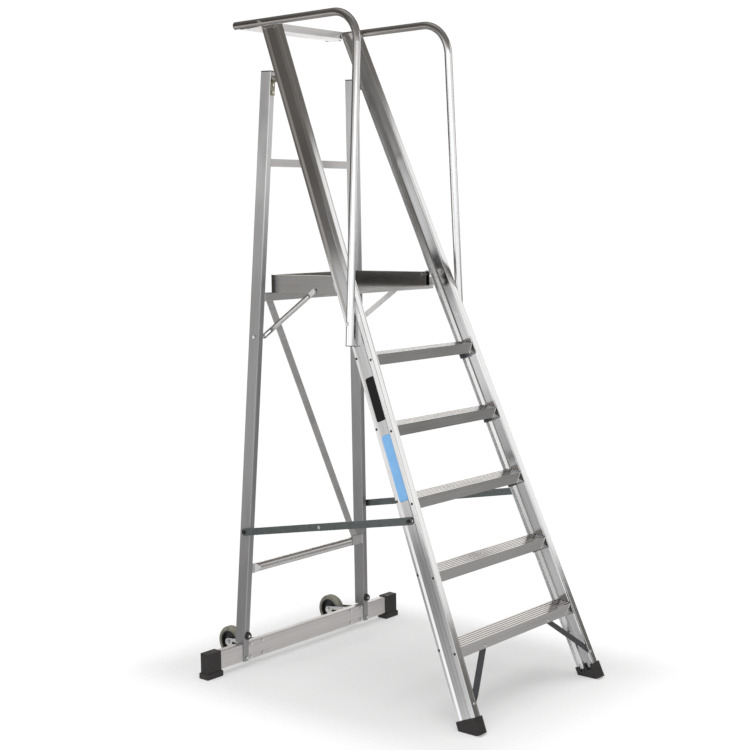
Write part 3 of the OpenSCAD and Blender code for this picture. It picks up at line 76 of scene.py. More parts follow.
def marks_group(name, **kinds):
    """Node group that turns a vector into kinds of marks from 0 to 1, each a noise of its own
    stretch, scale and detail."""
    group = bpy.data.node_groups.new(name, "ShaderNodeTree")
    group_socket(group, "Vector", "NodeSocketVector", "INPUT")
    for kind in kinds:
        group_socket(group, kind, "NodeSocketFloat", "OUTPUT")
    start = group.nodes.new("NodeGroupInput")
    end = group.nodes.new("NodeGroupOutput")
    for kind, (stretch, scale, detail) in kinds.items():
        noise = stretched_noise(group, start.outputs["Vector"], stretch, scale, detail)
        group.links.new(noise, end.inputs[kind])
    return group


# An extruded bar has lines of about a millimetre, bands of about a centimetre and smears of about a
# hand's width, all drawn out along the bar.
die_lines = marks_group("die_lines", Lines=(0.004, 700.0, 2.0), Bands=(0.012, 95.0, 2.0),
                        Smears=(0.35, 11.0, 4.0))


def shader(name):
    """New material with its node tree, its Principled shader and its object coordinates."""
    material = bpy.data.materials.new(name)
    material.use_nodes = True
    tree = material.node_tree
    surface = tree.nodes["Principled BSDF"]
    place = tree.nodes.new("ShaderNodeTexCoord")
    return material, tree, surface, place.outputs["Object"]


def coordinates(material):
    """Object coordinates of a material that has been made."""
    place = next(node for node in material.node_tree.nodes if node.type == "TEX_COORD")
    return place.outputs["Object"]


def turned(tree, vector, turn):
    """The vector turned so that the length of a bar runs along the third coordinate."""
    mapping = tree.nodes.new("ShaderNodeMapping")
    mapping.inputs["Rotation"].default_value = turn
    tree.links.new(vector, mapping.inputs["Vector"])
    return mapping.outputs["Vector"]


def ranged(tree, value, low, high):
    """A mask's middle range, spread from low to high."""
    spread = tree.nodes.new("ShaderNodeMapRange")
    spread.inputs["From Min"].default_value = MASK_LOW
    spread.inputs["From Max"].default_value = MASK_HIGH
    spread.inputs["To Min"].default_value = low
    spread.inputs["To Max"].default_value = high
    tree.links.new(value, spread.inputs["Value"])
    return spread.outputs["Result"]


def toned(tree, mask, dark, light):
    """Colour between two tones, by a mask's middle range."""
    ramp = tree.nodes.new("ShaderNodeValToRGB")
    ends = zip(ramp.color_ramp.elements, (MASK_LOW, MASK_HIGH), (dark, light))
    for stop, position, tone in ends:
        stop.position = position
        stop.color = (*tone, 1.0)
    tree.links.new(mask, ramp.inputs["Fac"])
    return ramp.outputs["Color"]


def mixed(tree, one, other, mask):
    """Colour of one layer where the mask is low and of the other where it is high."""
    mix = tree.nodes.new("ShaderNodeMix")
    mix.data_type = "RGBA"
    tree.links.new(mask, mix.inputs["Factor"])
    tree.links.new(one, mix.inputs["A"])
    tree.links.new(other, mix.inputs["B"])
    return mix.outputs["Result"]


def worked(tree, operation, one, other):
    """One step of arithmetic on two values, where the second may be a number."""
    step = tree.nodes.new("ShaderNodeMath")
    step.operation = operation
    tree.links.new(one, step.inputs[0])
    if isinstance(other, float):
        step.inputs[1].default_value = other
    else:
        tree.links.new(other, step.inputs[1])
    return step.outputs["Value"]


def eased(tree, value, low, high, first, last):
    """Smooth step between two results, as a value goes from low to high."""
    step = tree.nodes.new("ShaderNodeMapRange")
    step.interpolation_type = "SMOOTHSTEP"
    step.inputs["From Min"].default_value = low
    step.inputs["From Max"].default_value = high
    step.inputs["To Min"].default_value = first
    step.inputs["To Max"].default_value = last
    tree.links.new(value, step.inputs["Value"])
    return step.outputs["Result"]


def relief(tree, surface, height, depth):
    """Bump of a height mask, as deep as given in metres."""
    bump = tree.nodes.new("ShaderNodeBump")
    bump.inputs["Strength"].default_value = 1.0
    bump.inputs["Distance"].default_value = depth
    tree.links.new(height, bump.inputs["Height"])
    tree.links.new(bump.outputs["Normal"], surface.inputs["Normal"])


def drawn_alloy(name, dark, light, rough, turn, depth, metallic=1.0):
    """Extruded aluminium: bands tone it, smears change its shine and, where they have a depth, die
    lines cut its surface."""
    material, tree, surface, vector = shader(name)
    marks = tree.nodes.new("ShaderNodeGroup")
    marks.node_tree = die_lines
    tree.links.new(turned(tree, vector, turn), marks.inputs["Vector"])
    bands = toned(tree, marks.outputs["Bands"], dark, light)
    smears = toned(tree, marks.outputs["Smears"], dark, light)
    tree.links.new(mixed(tree, bands, smears, marks.outputs["Lines"]), surface.inputs["Base Color"])
    tree.links.new(ranged(tree, marks.outputs["Smears"], *rough), surface.inputs["Roughness"])
    surface.inputs["Metallic"].default_value = metallic
    if depth:
        relief(tree, surface, marks.outputs["Lines"], depth)
    return material


def retoned(material, mask, kind, dark, light):
    """The drawn material with other tones where the mask is high, spread by one kind of its marks."""
    tree = material.node_tree
    colour = tree.nodes["Principled BSDF"].inputs["Base Color"]
    marks = next(node for node in tree.nodes if node.type == "GROUP")
    other = toned(tree, marks.outputs[kind], dark, light)
    tree.links.new(mixed(tree, colour.links[0].from_socket, other, mask), colour)
    return material


def dress(material, *names):
    """Give CAD nodes their material, in place of the plain one they came with."""
    for name in names:
        nodes[name].data.materials.clear()
        nodes[name].data.materials.append(material)


def recess_mask(material, side):
    """1 on the floor of the recess in a stile's web and 0 on its strips: the depth behind the front
    face is the part of a point along the stile's own second axis, and its distance from the middle of
    that floor is compared with half the floor."""
    tree = material.node_tree
    slope = math.sin(STILE_TAPER) * math.sin(STILE_LEAN)
    depth = tree.nodes.new("ShaderNodeVectorMath")
    depth.operation = "DOT_PRODUCT"
    depth.inputs[1].default_value = (side * slope, math.cos(STILE_LEAN),
                                     -math.cos(STILE_TAPER) * math.sin(STILE_LEAN))
    tree.links.new(coordinates(material), depth.inputs[0])
    start = MIDDLE_Y * math.cos(STILE_LEAN) - STILE_HALF * slope
    front, rear = RECESS_FRONT + RECESS_FRONT_RUN, RECESS_REAR - RECESS_REAR_RUN
    half = (rear - front) / 2
    off = worked(tree, "ADD", depth.outputs["Value"], start - (front + rear) / 2)
    return eased(tree, worked(tree, "ABSOLUTE", off, 0.0), half, half + RECESS_BLEND, 1.0, 0.0)


def stile_alloy(name, side):
    """Drawn alloy of a stile, a little greyer on the floor of the recess."""
    material = drawn_alloy(name, dark=(0.72, 0.72, 0.72), light=(0.82, 0.825, 0.83),
                           rough=(0.12, 0.20), turn=(STILE_LEAN, side * STILE_TAPER, 0.0),
                           depth=0.000006)
    return retoned(material, recess_mask(material, side), "Bands",
                   dark=(0.50, 0.50, 0.505), light=(0.60, 0.60, 0.605))


dress(stile_alloy("stile_left_alloy", -1), "stile_left")
dress(stile_alloy("stile_right_alloy", 1), "stile_right")


# Treads
# Five extruded aluminium treads with a ribbed top and a deep nose, cut to the taper of the stiles.
# Feet polish the ribs, and the grooves between them are painted a darker grey: partly dirt, partly
# painted shade between the ribs.

ALONG_X = (0.0, math.pi / 2, 0.0)
LOWEST_TREAD = 0.281
TREAD_PITCH = 0.250
RIB_HEIGHT = 0.002
LOOKS_UP = 0.6
# Groove floor tone: partly grey dirt, partly painted shade between the ribs.
GROOVE_DIRT_AND_SHADE = (0.34, 0.325, 0.31)


def split(tree, vector):
    """The three parts of a vector, by name."""
    parts = tree.nodes.new("ShaderNodeSeparateXYZ")
    tree.links.new(vector, parts.inputs["Vector"])
    return parts.outputs


def groove_mask(material):
    """1 on the floors between the ribs and 0 elsewhere: the face looks up, and its height, counted
    from the tread's top in steps of the pitch, lies below the middle of the rib."""
    tree = material.node_tree
    height = split(tree, coordinates(material))["Z"]
    facing = tree.nodes.new("ShaderNodeNewGeometry")
    up = split(tree, facing.outputs["Normal"])["Z"]
    lifted = worked(tree, "SUBTRACT", height, LOWEST_TREAD - TREAD_PITCH + RIB_HEIGHT / 2)
    share = worked(tree, "FRACT", worked(tree, "DIVIDE", lifted, TREAD_PITCH), 0.0)
    below = worked(tree, "GREATER_THAN", share, 0.5)
    return worked(tree, "MULTIPLY", below, worked(tree, "GREATER_THAN", up, LOOKS_UP))


tread_alloy = drawn_alloy("tread_alloy", dark=(0.60, 0.585, 0.575), light=(0.70, 0.69, 0.68),
                          rough=(0.15, 0.23), turn=ALONG_X, depth=0.000003)
# Painted shade and dirt: the groove floors take one flat darker grey.
retoned(tread_alloy, groove_mask(tread_alloy), "Smears", dark=GROOVE_DIRT_AND_SHADE, light=GROOVE_DIRT_AND_SHADE)
dress(tread_alloy, "tread_1", "tread_2", "tread_3", "tread_4", "tread_5")


# Tread brackets and braces
# Pressed steel angles inside the stiles and two straps under the lowest tread, coated dark grey.
# The coat is thin: it shows a fine grain, and it is rubbed a little paler in patches.

# A moulded or coated surface has a grain of about half a millimetre, and scuffs of a few centimetres
# that break up at their edges.
moulded_grain = marks_group("moulded_grain", Grain=(1.0, 1900.0, 2.0), Scuffs=(0.8, 42.0, 6.0))


def grained(name, dark, light, rough, metallic, depth):
    """Moulded, coated or plated surface: scuffs tone it and change its shine, and the grain lifts
    it."""
    material, tree, surface, vector = shader(name)
    marks = tree.nodes.new("ShaderNodeGroup")
    marks.node_tree = moulded_grain
    tree.links.new(vector, marks.inputs["Vector"])
    tree.links.new(toned(tree, marks.outputs["Scuffs"], dark, light), surface.inputs["Base Color"])
    tree.links.new(ranged(tree, marks.outputs["Scuffs"], *rough), surface.inputs["Roughness"])
    surface.inputs["Metallic"].default_value = metallic
    relief(tree, surface, marks.outputs["Grain"], depth)
    return material


dark_coat = grained("dark_coat", dark=(0.020, 0.022, 0.026), light=(0.042, 0.044, 0.050),
                    rough=(0.36, 0.52), metallic=0.0, depth=0.00003)
dress(dark_coat, "tread_brace_left", "tread_brace_right")
bracket_coat = grained("bracket_coat", dark=(0.20, 0.20, 0.21), light=(0.30, 0.30, 0.31),
                       rough=(0.40, 0.56), metallic=0.8, depth=0.00003)
dress(bracket_coat, "tread_brackets")


# Shoes
# Moulded black rubber sockets pushed over the cut ends of the stiles, open on the inside.
# The mould leaves a matt grain, and use leaves grey scuffs.

black_rubber = grained("black_rubber", dark=(0.0105, 0.0092, 0.0088), light=(0.027, 0.0245, 0.0238),
                       rough=(0.50, 0.72), metallic=0.0, depth=0.00005)
dress(black_rubber, "shoe_left", "shoe_right")


# Handrails, plugs and top tray
# Bent aluminium tubes bolted to the outside of the stiles, with black plugs in their ends.
# A folded aluminium sheet lies under the two level runs and is screwed to them.

UPRIGHT = (0.0, 0.0, 0.0)
RAIL_RADIUS, RAIL_BEND = 0.015, 0.118
RAIL_INSET = RAIL_RADIUS + RAIL_BEND
RAIL_BEND_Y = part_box("handrail_left")[0][1] + RAIL_INSET
RAIL_BEND_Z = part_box("handrail_left")[1][2] - RAIL_INSET
# Heights above the bend over which the painted dark reflection of the level run fades in.
RAIL_PAINTED_REFLECTION_START, RAIL_PAINTED_REFLECTION_FULL = 0.03, 0.11


def along_rail(tree, vector):
    """Coordinates that follow the bent tube: across it, the distance from the centre of the bend,
    where the part in front of the bend and the part above it count, and the sum of height and depth
    as the length."""
    parts = split(tree, vector)
    ahead = worked(tree, "MINIMUM", worked(tree, "SUBTRACT", parts["Y"], RAIL_BEND_Y), 0.0)
    above = worked(tree, "MAXIMUM", worked(tree, "SUBTRACT", parts["Z"], RAIL_BEND_Z), 0.0)
    square = worked(tree, "ADD", worked(tree, "MULTIPLY", ahead, ahead),
                    worked(tree, "MULTIPLY", above, above))
    out = tree.nodes.new("ShaderNodeCombineXYZ")
    tree.links.new(parts["X"], out.inputs["X"])
    tree.links.new(worked(tree, "POWER", square, 0.5), out.inputs["Y"])
    tree.links.new(worked(tree, "ADD", parts["Y"], parts["Z"]), out.inputs["Z"])
    return out.outputs["Vector"]


def followed(material, along):
    """The material with its drawn marks laid along other coordinates."""
    tree = material.node_tree
    marks = next(node for node in tree.nodes if node.type == "GROUP")
    straight = marks.inputs["Vector"].links[0].from_socket
    tree.links.new(along(tree, straight), marks.inputs["Vector"])
    return material


def height_mask(material, low, high):
    """0 up to one height, 1 from another, and eased between them."""
    tree = material.node_tree
    return eased(tree, split(tree, coordinates(material))["Z"], low, high, 0.0, 1.0)


def bent_tube(name, taper):
    """Drawn tube of a handrail, whose marks follow its bend. The level run and the top of the bend
    are painted darker, a painted reflection of the dark room that they mirror."""
    material = drawn_alloy(name, dark=(0.70, 0.70, 0.70), light=(0.80, 0.80, 0.805),
                           rough=(0.16, 0.24), turn=(0.0, taper, 0.0), depth=0.0)
    painted_reflection = height_mask(material, RAIL_BEND_Z + RAIL_PAINTED_REFLECTION_START, RAIL_BEND_Z + RAIL_PAINTED_REFLECTION_FULL)
    # Painted reflection: the level run and the top of the bend are painted darker.
    retoned(material, painted_reflection, "Smears", dark=(0.29, 0.275, 0.265), light=(0.38, 0.365, 0.355))
    return followed(material, along_rail)


dress(bent_tube("rail_left_alloy", -STILE_TAPER), "handrail_left")
dress(bent_tube("rail_right_alloy", STILE_TAPER), "handrail_right")
black_plastic = grained("black_plastic", dark=(0.008, 0.008, 0.009), light=(0.020, 0.020, 0.021),
                        rough=(0.34, 0.50), metallic=0.0, depth=0.00002)
dress(black_plastic, "handrail_plugs", "tread_rivets")
dull_alloy = drawn_alloy("dull_alloy", dark=(0.54, 0.525, 0.515), light=(0.66, 0.65, 0.645),
                         rough=(0.28, 0.40), turn=ALONG_X, depth=0.000006)
dress(dull_alloy, "top_tray")


# Hinges
# Two pressed leaves on each side, passivated to a dull brass tone, that turn on a plated steel pin.
# Their screws and most other bolts, bosses, brackets and forks are bright zinc plate.

yellow_zinc = grained("yellow_zinc", dark=(0.15, 0.145, 0.10), light=(0.46, 0.44, 0.32),
                      rough=(0.28, 0.44), metallic=1.0, depth=0.00003)
dress(yellow_zinc, "hinge_front_leaves", "hinge_rear_leaves")
zinc_plate = grained("zinc_plate", dark=(0.55, 0.56, 0.57), light=(0.80, 0.80, 0.78),
                     rough=(0.20, 0.38), metallic=1.0, depth=0.00002)
dress(zinc_plate, "hinge_pins", "front_bolts", "brace_rivets", "stay_front_brackets",
      "platform_brackets", "platform_pins", "rear_frame_bolts",
      "stay_rear_brackets", "wheel_brackets", "wheel_axles", "strut_pins",
      "deck_rivets", "strut_bolts", "stay_rivet_left", "stay_rivet_right")


# Rear legs
# Rectangular aluminium tubes, duller than the stiles, capped at the top and notched over the base
# bar. Low down they keep a darker tone, and from the platform up a painted reflection makes them
# brighter.

LEG_TAPER = math.radians(3.0503)
# Heights over which the legs' painted reflection fades in, brighter above.
LEG_PAINTED_REFLECTION_START, LEG_PAINTED_REFLECTION_FULL = 1.40, 2.00

leg_alloy = drawn_alloy("leg_alloy", dark=(0.275, 0.271, 0.271), light=(0.335, 0.333, 0.336),
                        rough=(0.32, 0.44), turn=UPRIGHT, depth=0.000006, metallic=0.75)
# Painted reflection: from the platform up the legs are painted brighter.
retoned(leg_alloy, height_mask(leg_alloy, LEG_PAINTED_REFLECTION_START, LEG_PAINTED_REFLECTION_FULL), "Smears",
        dark=(0.56, 0.56, 0.565), light=(0.68, 0.68, 0.685))
dress(leg_alloy, "rear_leg_left", "rear_leg_right")
dress(black_plastic, "leg_caps")


# Cross members
# An upper flat bar, a box bar under the platform, a tube with flattened ends and a diagonal flat.
# The bars and the tube are welded to the legs all round, and the flat is bolted.

CROSS_TUBE_FLAT = 0.005
WELD_RADIUS, WELD_RIPPLE = 0.0018, 0.35
WELD_STEPS_A_SIDE, WELD_STEPS_A_DROP, WELD_STEPS_ROUND = 48, 3, 12

dress(dull_alloy, "upper_crossbar", "platform_bar", "lower_cross_tube", "diagonal_brace")


def surface_piece(name, points, wrap_u, wrap_v):
    """Mesh of a grid of points: each square of the grid is one face, and a wrapped direction
    closes."""
    rows, columns = points.shape[:2]
    index = np.arange(rows * columns).reshape(rows, columns)
    if wrap_u:
        index = np.vstack([index, index[:1]])
    if wrap_v:
        index = np.hstack([index, index[:, :1]])
    faces = np.stack([index[:-1, :-1], index[1:, :-1], index[1:, 1:], index[:-1, 1:]], axis=-1)
    mesh = bpy.data.meshes.new(name)
    mesh.from_pydata(points.reshape(-1, 3).tolist(), [], faces.reshape(-1, 4).tolist())
    mesh.polygons.foreach_set("use_smooth", np.ones(len(mesh.polygons), dtype=bool))
    piece = bpy.data.objects.new(name, mesh)
    bpy.context.scene.collection.objects.link(piece)
    return piece


def loop_path(corners, per_side):
    """Points along a closed polygon: each side is split evenly, from one corner to the next."""
    ends = np.roll(corners, -1, axis=0)
    share = np.linspace(0.0, 1.0, per_side, endpoint=False)[None, :, None]
    return (corners[:, None, :] * (1 - share) + ends[:, None, :] * share).reshape(-1, 3)


def weld_bead(name, corners):
    """Bead round a bar: a circle carried along a closed path, whose radius swells and shrinks as the
    square of a sine along the way, so that it looks laid drop by drop."""
    path = loop_path(corners, WELD_STEPS_A_SIDE)
    ahead = np.roll(path, -1, axis=0) - np.roll(path, 1, axis=0)
    ahead /= np.linalg.norm(ahead, axis=1, keepdims=True)
    side = np.array([1.0, 0.0, 0.0])
    across = np.cross(ahead, side)
    across /= np.linalg.norm(across, axis=1, keepdims=True)
    turn = np.linspace(0.0, 2 * math.pi, WELD_STEPS_ROUND, endpoint=False)
    drops = np.sin(np.arange(len(path)) * math.pi / WELD_STEPS_A_DROP) ** 2
    swell = WELD_RADIUS * (1 + WELD_RIPPLE * drops)
    ring = np.cos(turn)[None, :, None] * side + np.sin(turn)[None, :, None] * across[:, None, :]
    return surface_piece(name, path[:, None, :] + swell[:, None, None] * ring, True, True)


weld_alloy = grained("weld_alloy", dark=(0.52, 0.51, 0.50), light=(0.74, 0.73, 0.72),
                     rough=(0.24, 0.40), metallic=1.0, depth=0.00003)
for bar, thick in (("upper_crossbar", None), ("platform_bar", None),
                   ("lower_cross_tube", CROSS_TUBE_FLAT)):
    low, high = (np.array(corner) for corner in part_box(bar))
    rise = (high[2] - low[2]) * math.tan(LEG_TAPER)
    if thick:
        low[1], high[1] = (low[1] + high[1] - thick) / 2, (low[1] + high[1] + thick) / 2
    for side, word in ((-1, "left"), (1, "right")):
        corners = np.array([[side * high[0], low[1], low[2]],
                            [side * high[0], high[1], low[2]],
                            [side * (high[0] - rise), high[1], high[2]],
                            [side * (high[0] - rise), low[1], high[2]]])
        bead = weld_bead(f"weld_{bar}_{word}", corners)
        bead.data.materials.append(weld_alloy)
        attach(bead, "rear_frame")


# Base bar, boots and buffers
# A wide aluminium box bar bolted behind the leg tabs, with a flared rubber boot on each end.
# The small buffers on the legs are of the same rubber.

base_alloy = drawn_alloy("base_alloy", dark=(0.56, 0.54, 0.53), light=(0.70, 0.68, 0.67),
                         rough=(0.36, 0.50), turn=ALONG_X, depth=0.00001)
dress(base_alloy, "base_bar")
dress(black_rubber, "base_boot_left", "base_boot_right", "buffers")


# Wheels
# Grey non-marking tyres on black moulded hubs, in plated forks bolted to the back of the base bar.
# The tyres are scuffed paler in patches.

tyre_rubber = grained("tyre_rubber", dark=(0.15, 0.145, 0.115), light=(0.25, 0.24, 0.20),
                      rough=(0.50, 0.68), metallic=0.0, depth=0.00005)
dress(tyre_rubber, "tyre_left", "tyre_right")
dress(black_plastic, "hub_left", "hub_right")


# Platform
# A ribbed aluminium deck riveted into a hollow toe board that is bent round the rear corners.
# The toe board is the darker of the two, and its drawn lines go round with the bend.


def along_board(tree, vector):
    """Coordinates of a board bent round corners: its height across, and the sum of its two level
    coordinates as the length."""
    parts = split(tree, vector)
    out = tree.nodes.new("ShaderNodeCombineXYZ")
    tree.links.new(parts["Z"], out.inputs["X"])
    tree.links.new(worked(tree, "ADD", parts["X"], parts["Y"]), out.inputs["Z"])
    return out.outputs["Vector"]


toe_alloy = drawn_alloy("toe_alloy", dark=(0.25, 0.242, 0.234), light=(0.31, 0.302, 0.294),
                        rough=(0.22, 0.30), turn=UPRIGHT, depth=0.000002)
dress(followed(toe_alloy, along_board), "toe_board")
deck_alloy = drawn_alloy("deck_alloy", dark=(0.58, 0.57, 0.56), light=(0.72, 0.71, 0.70),
                         rough=(0.30, 0.44), turn=ALONG_X, depth=0.00001)
dress(deck_alloy, "deck")


# Struts and stays
# Flattened aluminium struts carry the platform, and galvanised straps hold the two frames apart.
# The zinc on the straps has set in dull crystals.

CRYSTALS_PER_METRE = 110.0


def make_spangle():
    """Crystals of a zinc coat: cells of about a centimetre, each with its own tone from 0 to 1."""
    group = bpy.data.node_groups.new("spangle", "ShaderNodeTree")
    group_socket(group, "Vector", "NodeSocketVector", "INPUT")
    group_socket(group, "Crystals", "NodeSocketFloat", "OUTPUT")
    start = group.nodes.new("NodeGroupInput")
    end = group.nodes.new("NodeGroupOutput")
    cells = group.nodes.new("ShaderNodeTexVoronoi")
    cells.inputs["Scale"].default_value = CRYSTALS_PER_METRE
    tone = group.nodes.new("ShaderNodeSeparateColor")
    group.links.new(start.outputs["Vector"], cells.inputs["Vector"])
    group.links.new(cells.outputs["Color"], tone.inputs["Color"])
    group.links.new(tone.outputs["Red"], end.inputs["Crystals"])
    return group


def galvanised(name, dark, light, rough, metallic, depth):
    """Zinc-dipped steel: crystals tone it, scuffs change its shine, and the grain lifts it."""
    material = grained(name, dark, light, rough, metallic, depth)
    tree = material.node_tree
    crystals = tree.nodes.new("ShaderNodeGroup")
    crystals.node_tree = make_spangle()
    tree.links.new(coordinates(material), crystals.inputs["Vector"])
    ramp = next(node for node in tree.nodes if node.type == "VALTORGB")
    tree.links.new(crystals.outputs["Crystals"], ramp.inputs["Fac"])
    return material


zinc_dip = galvanised("galvanised_strap", dark=(0.128, 0.142, 0.143), light=(0.144, 0.159, 0.160),
                      rough=(0.28, 0.40), metallic=0.85, depth=0.00002)
dress(zinc_dip, "stay_front_link_left", "stay_front_link_right",
      "stay_rear_link_left", "stay_rear_link_right")
black_oxide = grained("black_oxide", dark=(0.020, 0.020, 0.021), light=(0.055, 0.055, 0.057),
                      rough=(0.30, 0.46), metallic=0.6, depth=0.00002)
dress(black_oxide, "stay_front_pins", "stay_rear_pins")
strut_alloy = drawn_alloy("strut_alloy", dark=(0.54, 0.53, 0.52), light=(0.68, 0.67, 0.66),
                          rough=(0.28, 0.40), turn=UPRIGHT, depth=0.00001)
dress(strut_alloy, "strut_left", "strut_right")


# Bare label fields
# Two plain vinyl stickers in the recess of the left stile, one black and one light blue, unprinted.
# They are pressed on its floor and a little way up its slopes.

LABEL_FRONT, LABEL_REAR = 0.0215, 0.0625
LABEL_BLACK, LABEL_BLUE = (1.153, 1.320), (0.852, 1.100)
LABEL_CORNER = 0.004
LABEL_LIFT = 0.00006
LABEL_THICKNESS = 0.0002
LABEL_STEPS_ACROSS, LABEL_STEPS_ALONG = 83, 41
LABEL_POWER_ACROSS, LABEL_POWER_ALONG = 12, 40


def on_left_stile(x, y, z):
    """Points of the left stile's own frame, x outward, y to its rear and z along it, in the row
    frame: turned by the lean about the first axis, then by the taper about the second, and
    mirrored."""
    along = -y * math.sin(STILE_LEAN) + z * math.cos(STILE_LEAN)
    out = STILE_HALF + x * math.cos(STILE_TAPER) - along * math.sin(STILE_TAPER)
    back = y * math.cos(STILE_LEAN) + z * math.sin(STILE_LEAN) - MIDDLE_Y
    up = x * math.sin(STILE_TAPER) + along * math.cos(STILE_TAPER)
    return np.stack([-out, back, up], axis=-1)


def label_field(name, low, high):
    """Sticker: a grid whose rim is drawn in at the corners by a high power of both coordinates,
    pressed on the floor of the recess and a little way up its two slopes, whose height grows
    evenly."""
    u, v = np.meshgrid(np.linspace(-1, 1, LABEL_STEPS_ACROSS),
                       np.linspace(-1, 1, LABEL_STEPS_ALONG), indexing="ij")
    length, width = high - low, LABEL_REAR - LABEL_FRONT
    rim = LABEL_CORNER * np.abs(u) ** LABEL_POWER_ACROSS * np.abs(v) ** LABEL_POWER_ALONG
    y = (LABEL_REAR + LABEL_FRONT) / 2 + u * (width / 2 - rim)
    z = (low + high) / 2 + v * (length / 2 - rim)
    sunk = np.minimum((y - RECESS_FRONT) / RECESS_FRONT_RUN, (RECESS_REAR - y) / RECESS_REAR_RUN)
    x = LABEL_LIFT - RECESS * np.clip(sunk, 0.0, 1.0)
    piece = surface_piece(name, on_left_stile(x, y, z), False, False)
    thick = piece.modifiers.new("vinyl", "SOLIDIFY")
    thick.thickness = LABEL_THICKNESS
    thick.offset = 1.0
    return piece


black_vinyl = grained("black_vinyl", dark=(0.005, 0.005, 0.0055), light=(0.009, 0.009, 0.010),
                      rough=(0.46, 0.62), metallic=0.0, depth=0.00001)
black_vinyl.node_tree.nodes["Principled BSDF"].inputs["Specular IOR Level"].default_value = 0.2
blue_vinyl = grained("blue_vinyl", dark=(0.17, 0.42, 0.76), light=(0.21, 0.47, 0.81),
                     rough=(0.28, 0.42), metallic=0.0, depth=0.00001)
for name, reach, vinyl in (("label_black", LABEL_BLACK, black_vinyl),
                           ("label_blue", LABEL_BLUE, blue_vinyl)):
    field = label_field(name, *reach)
    field.data.materials.append(vinyl)
    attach(field, "front_section")


# Floor, light and camera
# A pale studio floor that fades into a white backdrop, a large soft light above, and panels at the
# front, left, right and rear that the bare metal mirrors.

FLOOR_RADIUS, FLOOR_RINGS, FLOOR_SPOKES = 9.0, 24, 64
FLOOR_HALVES = (("X", 0.50), ("Y", 0.66))
FLOOR_FADE = 0.34
FLOOR_TONE, FLOOR_GLOW = 0.36, 0.38

u, v = np.meshgrid(np.linspace(0.0, FLOOR_RADIUS, FLOOR_RINGS),
                   np.linspace(0, 2 * math.pi, FLOOR_SPOKES, endpoint=False), indexing="ij")
disc = np.stack([u * np.cos(v), u * np.sin(v), np.zeros_like(u)], axis=-1)
floor = surface_piece("floor", disc, False, True)
pale, tree, surface, vector = shader("pale_floor")
surface.inputs["Roughness"].default_value = 0.9
surface.inputs["Specular IOR Level"].default_value = 0.1
surface.inputs["Base Color"].default_value = (FLOOR_TONE, FLOOR_TONE, FLOOR_TONE, 1.0)
surface.inputs["Emission Color"].default_value = (1.0, 1.0, 1.0, 1.0)
surface.inputs["Emission Strength"].default_value = FLOOR_GLOW
parts = split(tree, vector)
gaps = []
for axis, half in FLOOR_HALVES:
    size = worked(tree, "ABSOLUTE", parts[axis], 0.0)
    gap = worked(tree, "MAXIMUM", worked(tree, "SUBTRACT", size, half), 0.0)
    gaps.append(worked(tree, "MULTIPLY", gap, gap))
distance = worked(tree, "POWER", worked(tree, "ADD", *gaps), 0.5)
tree.links.new(eased(tree, distance, 0.0, FLOOR_FADE, 1.0, 0.0), surface.inputs["Alpha"])
floor.data.materials.append(pale)

# A dark room: white paper on the floor to the right front, and a lit wall behind the camera that is
# brightest below eye level. Each stop is a share of the way from straight down to straight up, a tone
# and its warmth.
UP = (0.0, 0.0, 1.0)
PAPER_UP = (-0.097, 0.0866, 1.0)
PAPER_TONES = ((0.0, 0.50, 0.02), (0.25, 0.56, 0.02), (0.325, 0.40, 0.0), (0.353, 0.26, 0.0),
               (0.378, 0.20, 0.04), (0.405, 0.36, 0.02), (0.43, 0.55, 0.0), (0.452, 0.40, 0.0),
               (0.475, 0.12, 0.06), (0.52, 0.12, 0.08), (0.78, 0.14, 0.10), (0.90, 0.30, 0.03),
               (1.0, 0.90, 0.0))
WALL_WAY = (-0.7617, -0.6480, 0.0)
WALL_EDGE = (0.17, 0.34)
WALL_TONES = ((0.0, 0.60, 0.0), (0.36, 1.00, 0.0), (0.495, 1.25, -0.01), (0.525, 1.15, 0.0),
              (0.56, 0.95, 0.02), (0.62, 0.42, 0.05), (0.72, 0.15, 0.10), (1.0, 0.30, 0.0))
BACKDROP = (1.02, 1.02, 1.02, 1.0)

world = bpy.data.worlds.new("studio")
bpy.context.scene.world = world
world.use_nodes = True
sky = world.node_tree
back = sky.nodes["Background"]
way = sky.nodes.new("ShaderNodeTexCoord")


def along_way(towards, low, high):
    """Share of a view direction that lies along another, from 0 at low to 1 at high."""
    dot = sky.nodes.new("ShaderNodeVectorMath")
    dot.operation = "DOT_PRODUCT"
    dot.inputs[1].default_value = towards
    sky.links.new(way.outputs["Generated"], dot.inputs[0])
    share = sky.nodes.new("ShaderNodeMapRange")
    share.inputs["From Min"].default_value = low
    share.inputs["From Max"].default_value = high
    sky.links.new(dot.outputs["Value"], share.inputs["Value"])
    return share.outputs["Result"]


def stepped(tones, share):
    """Colour ramp through stops of a position, a tone and its warmth."""
    ramp = sky.nodes.new("ShaderNodeValToRGB")
    stops = ramp.color_ramp.elements
    for inner in tones[1:-1]:
        stops.new(inner[0])
    for stop, (position, tone, warmth) in zip(stops, tones):
        stop.position = position
        stop.color = (tone * (1 + warmth), tone, tone * (1 - warmth), 1.0)
    sky.links.new(share, ramp.inputs["Fac"])
    return ramp.outputs["Color"]


paper = stepped(PAPER_TONES, along_way(PAPER_UP, -1.0, 1.0))
wall = stepped(WALL_TONES, along_way(UP, -1.0, 1.0))
room = mixed(sky, paper, wall, along_way(WALL_WAY, *WALL_EDGE))
seen = sky.nodes.new("ShaderNodeLightPath")
white = sky.nodes.new("ShaderNodeMix")
white.data_type = "RGBA"
white.inputs["B"].default_value = BACKDROP
sky.links.new(seen.outputs["Is Camera Ray"], white.inputs["Factor"])
sky.links.new(room, white.inputs["A"])
sky.links.new(white.outputs["Result"], back.inputs["Color"])

STEEP = 0.98


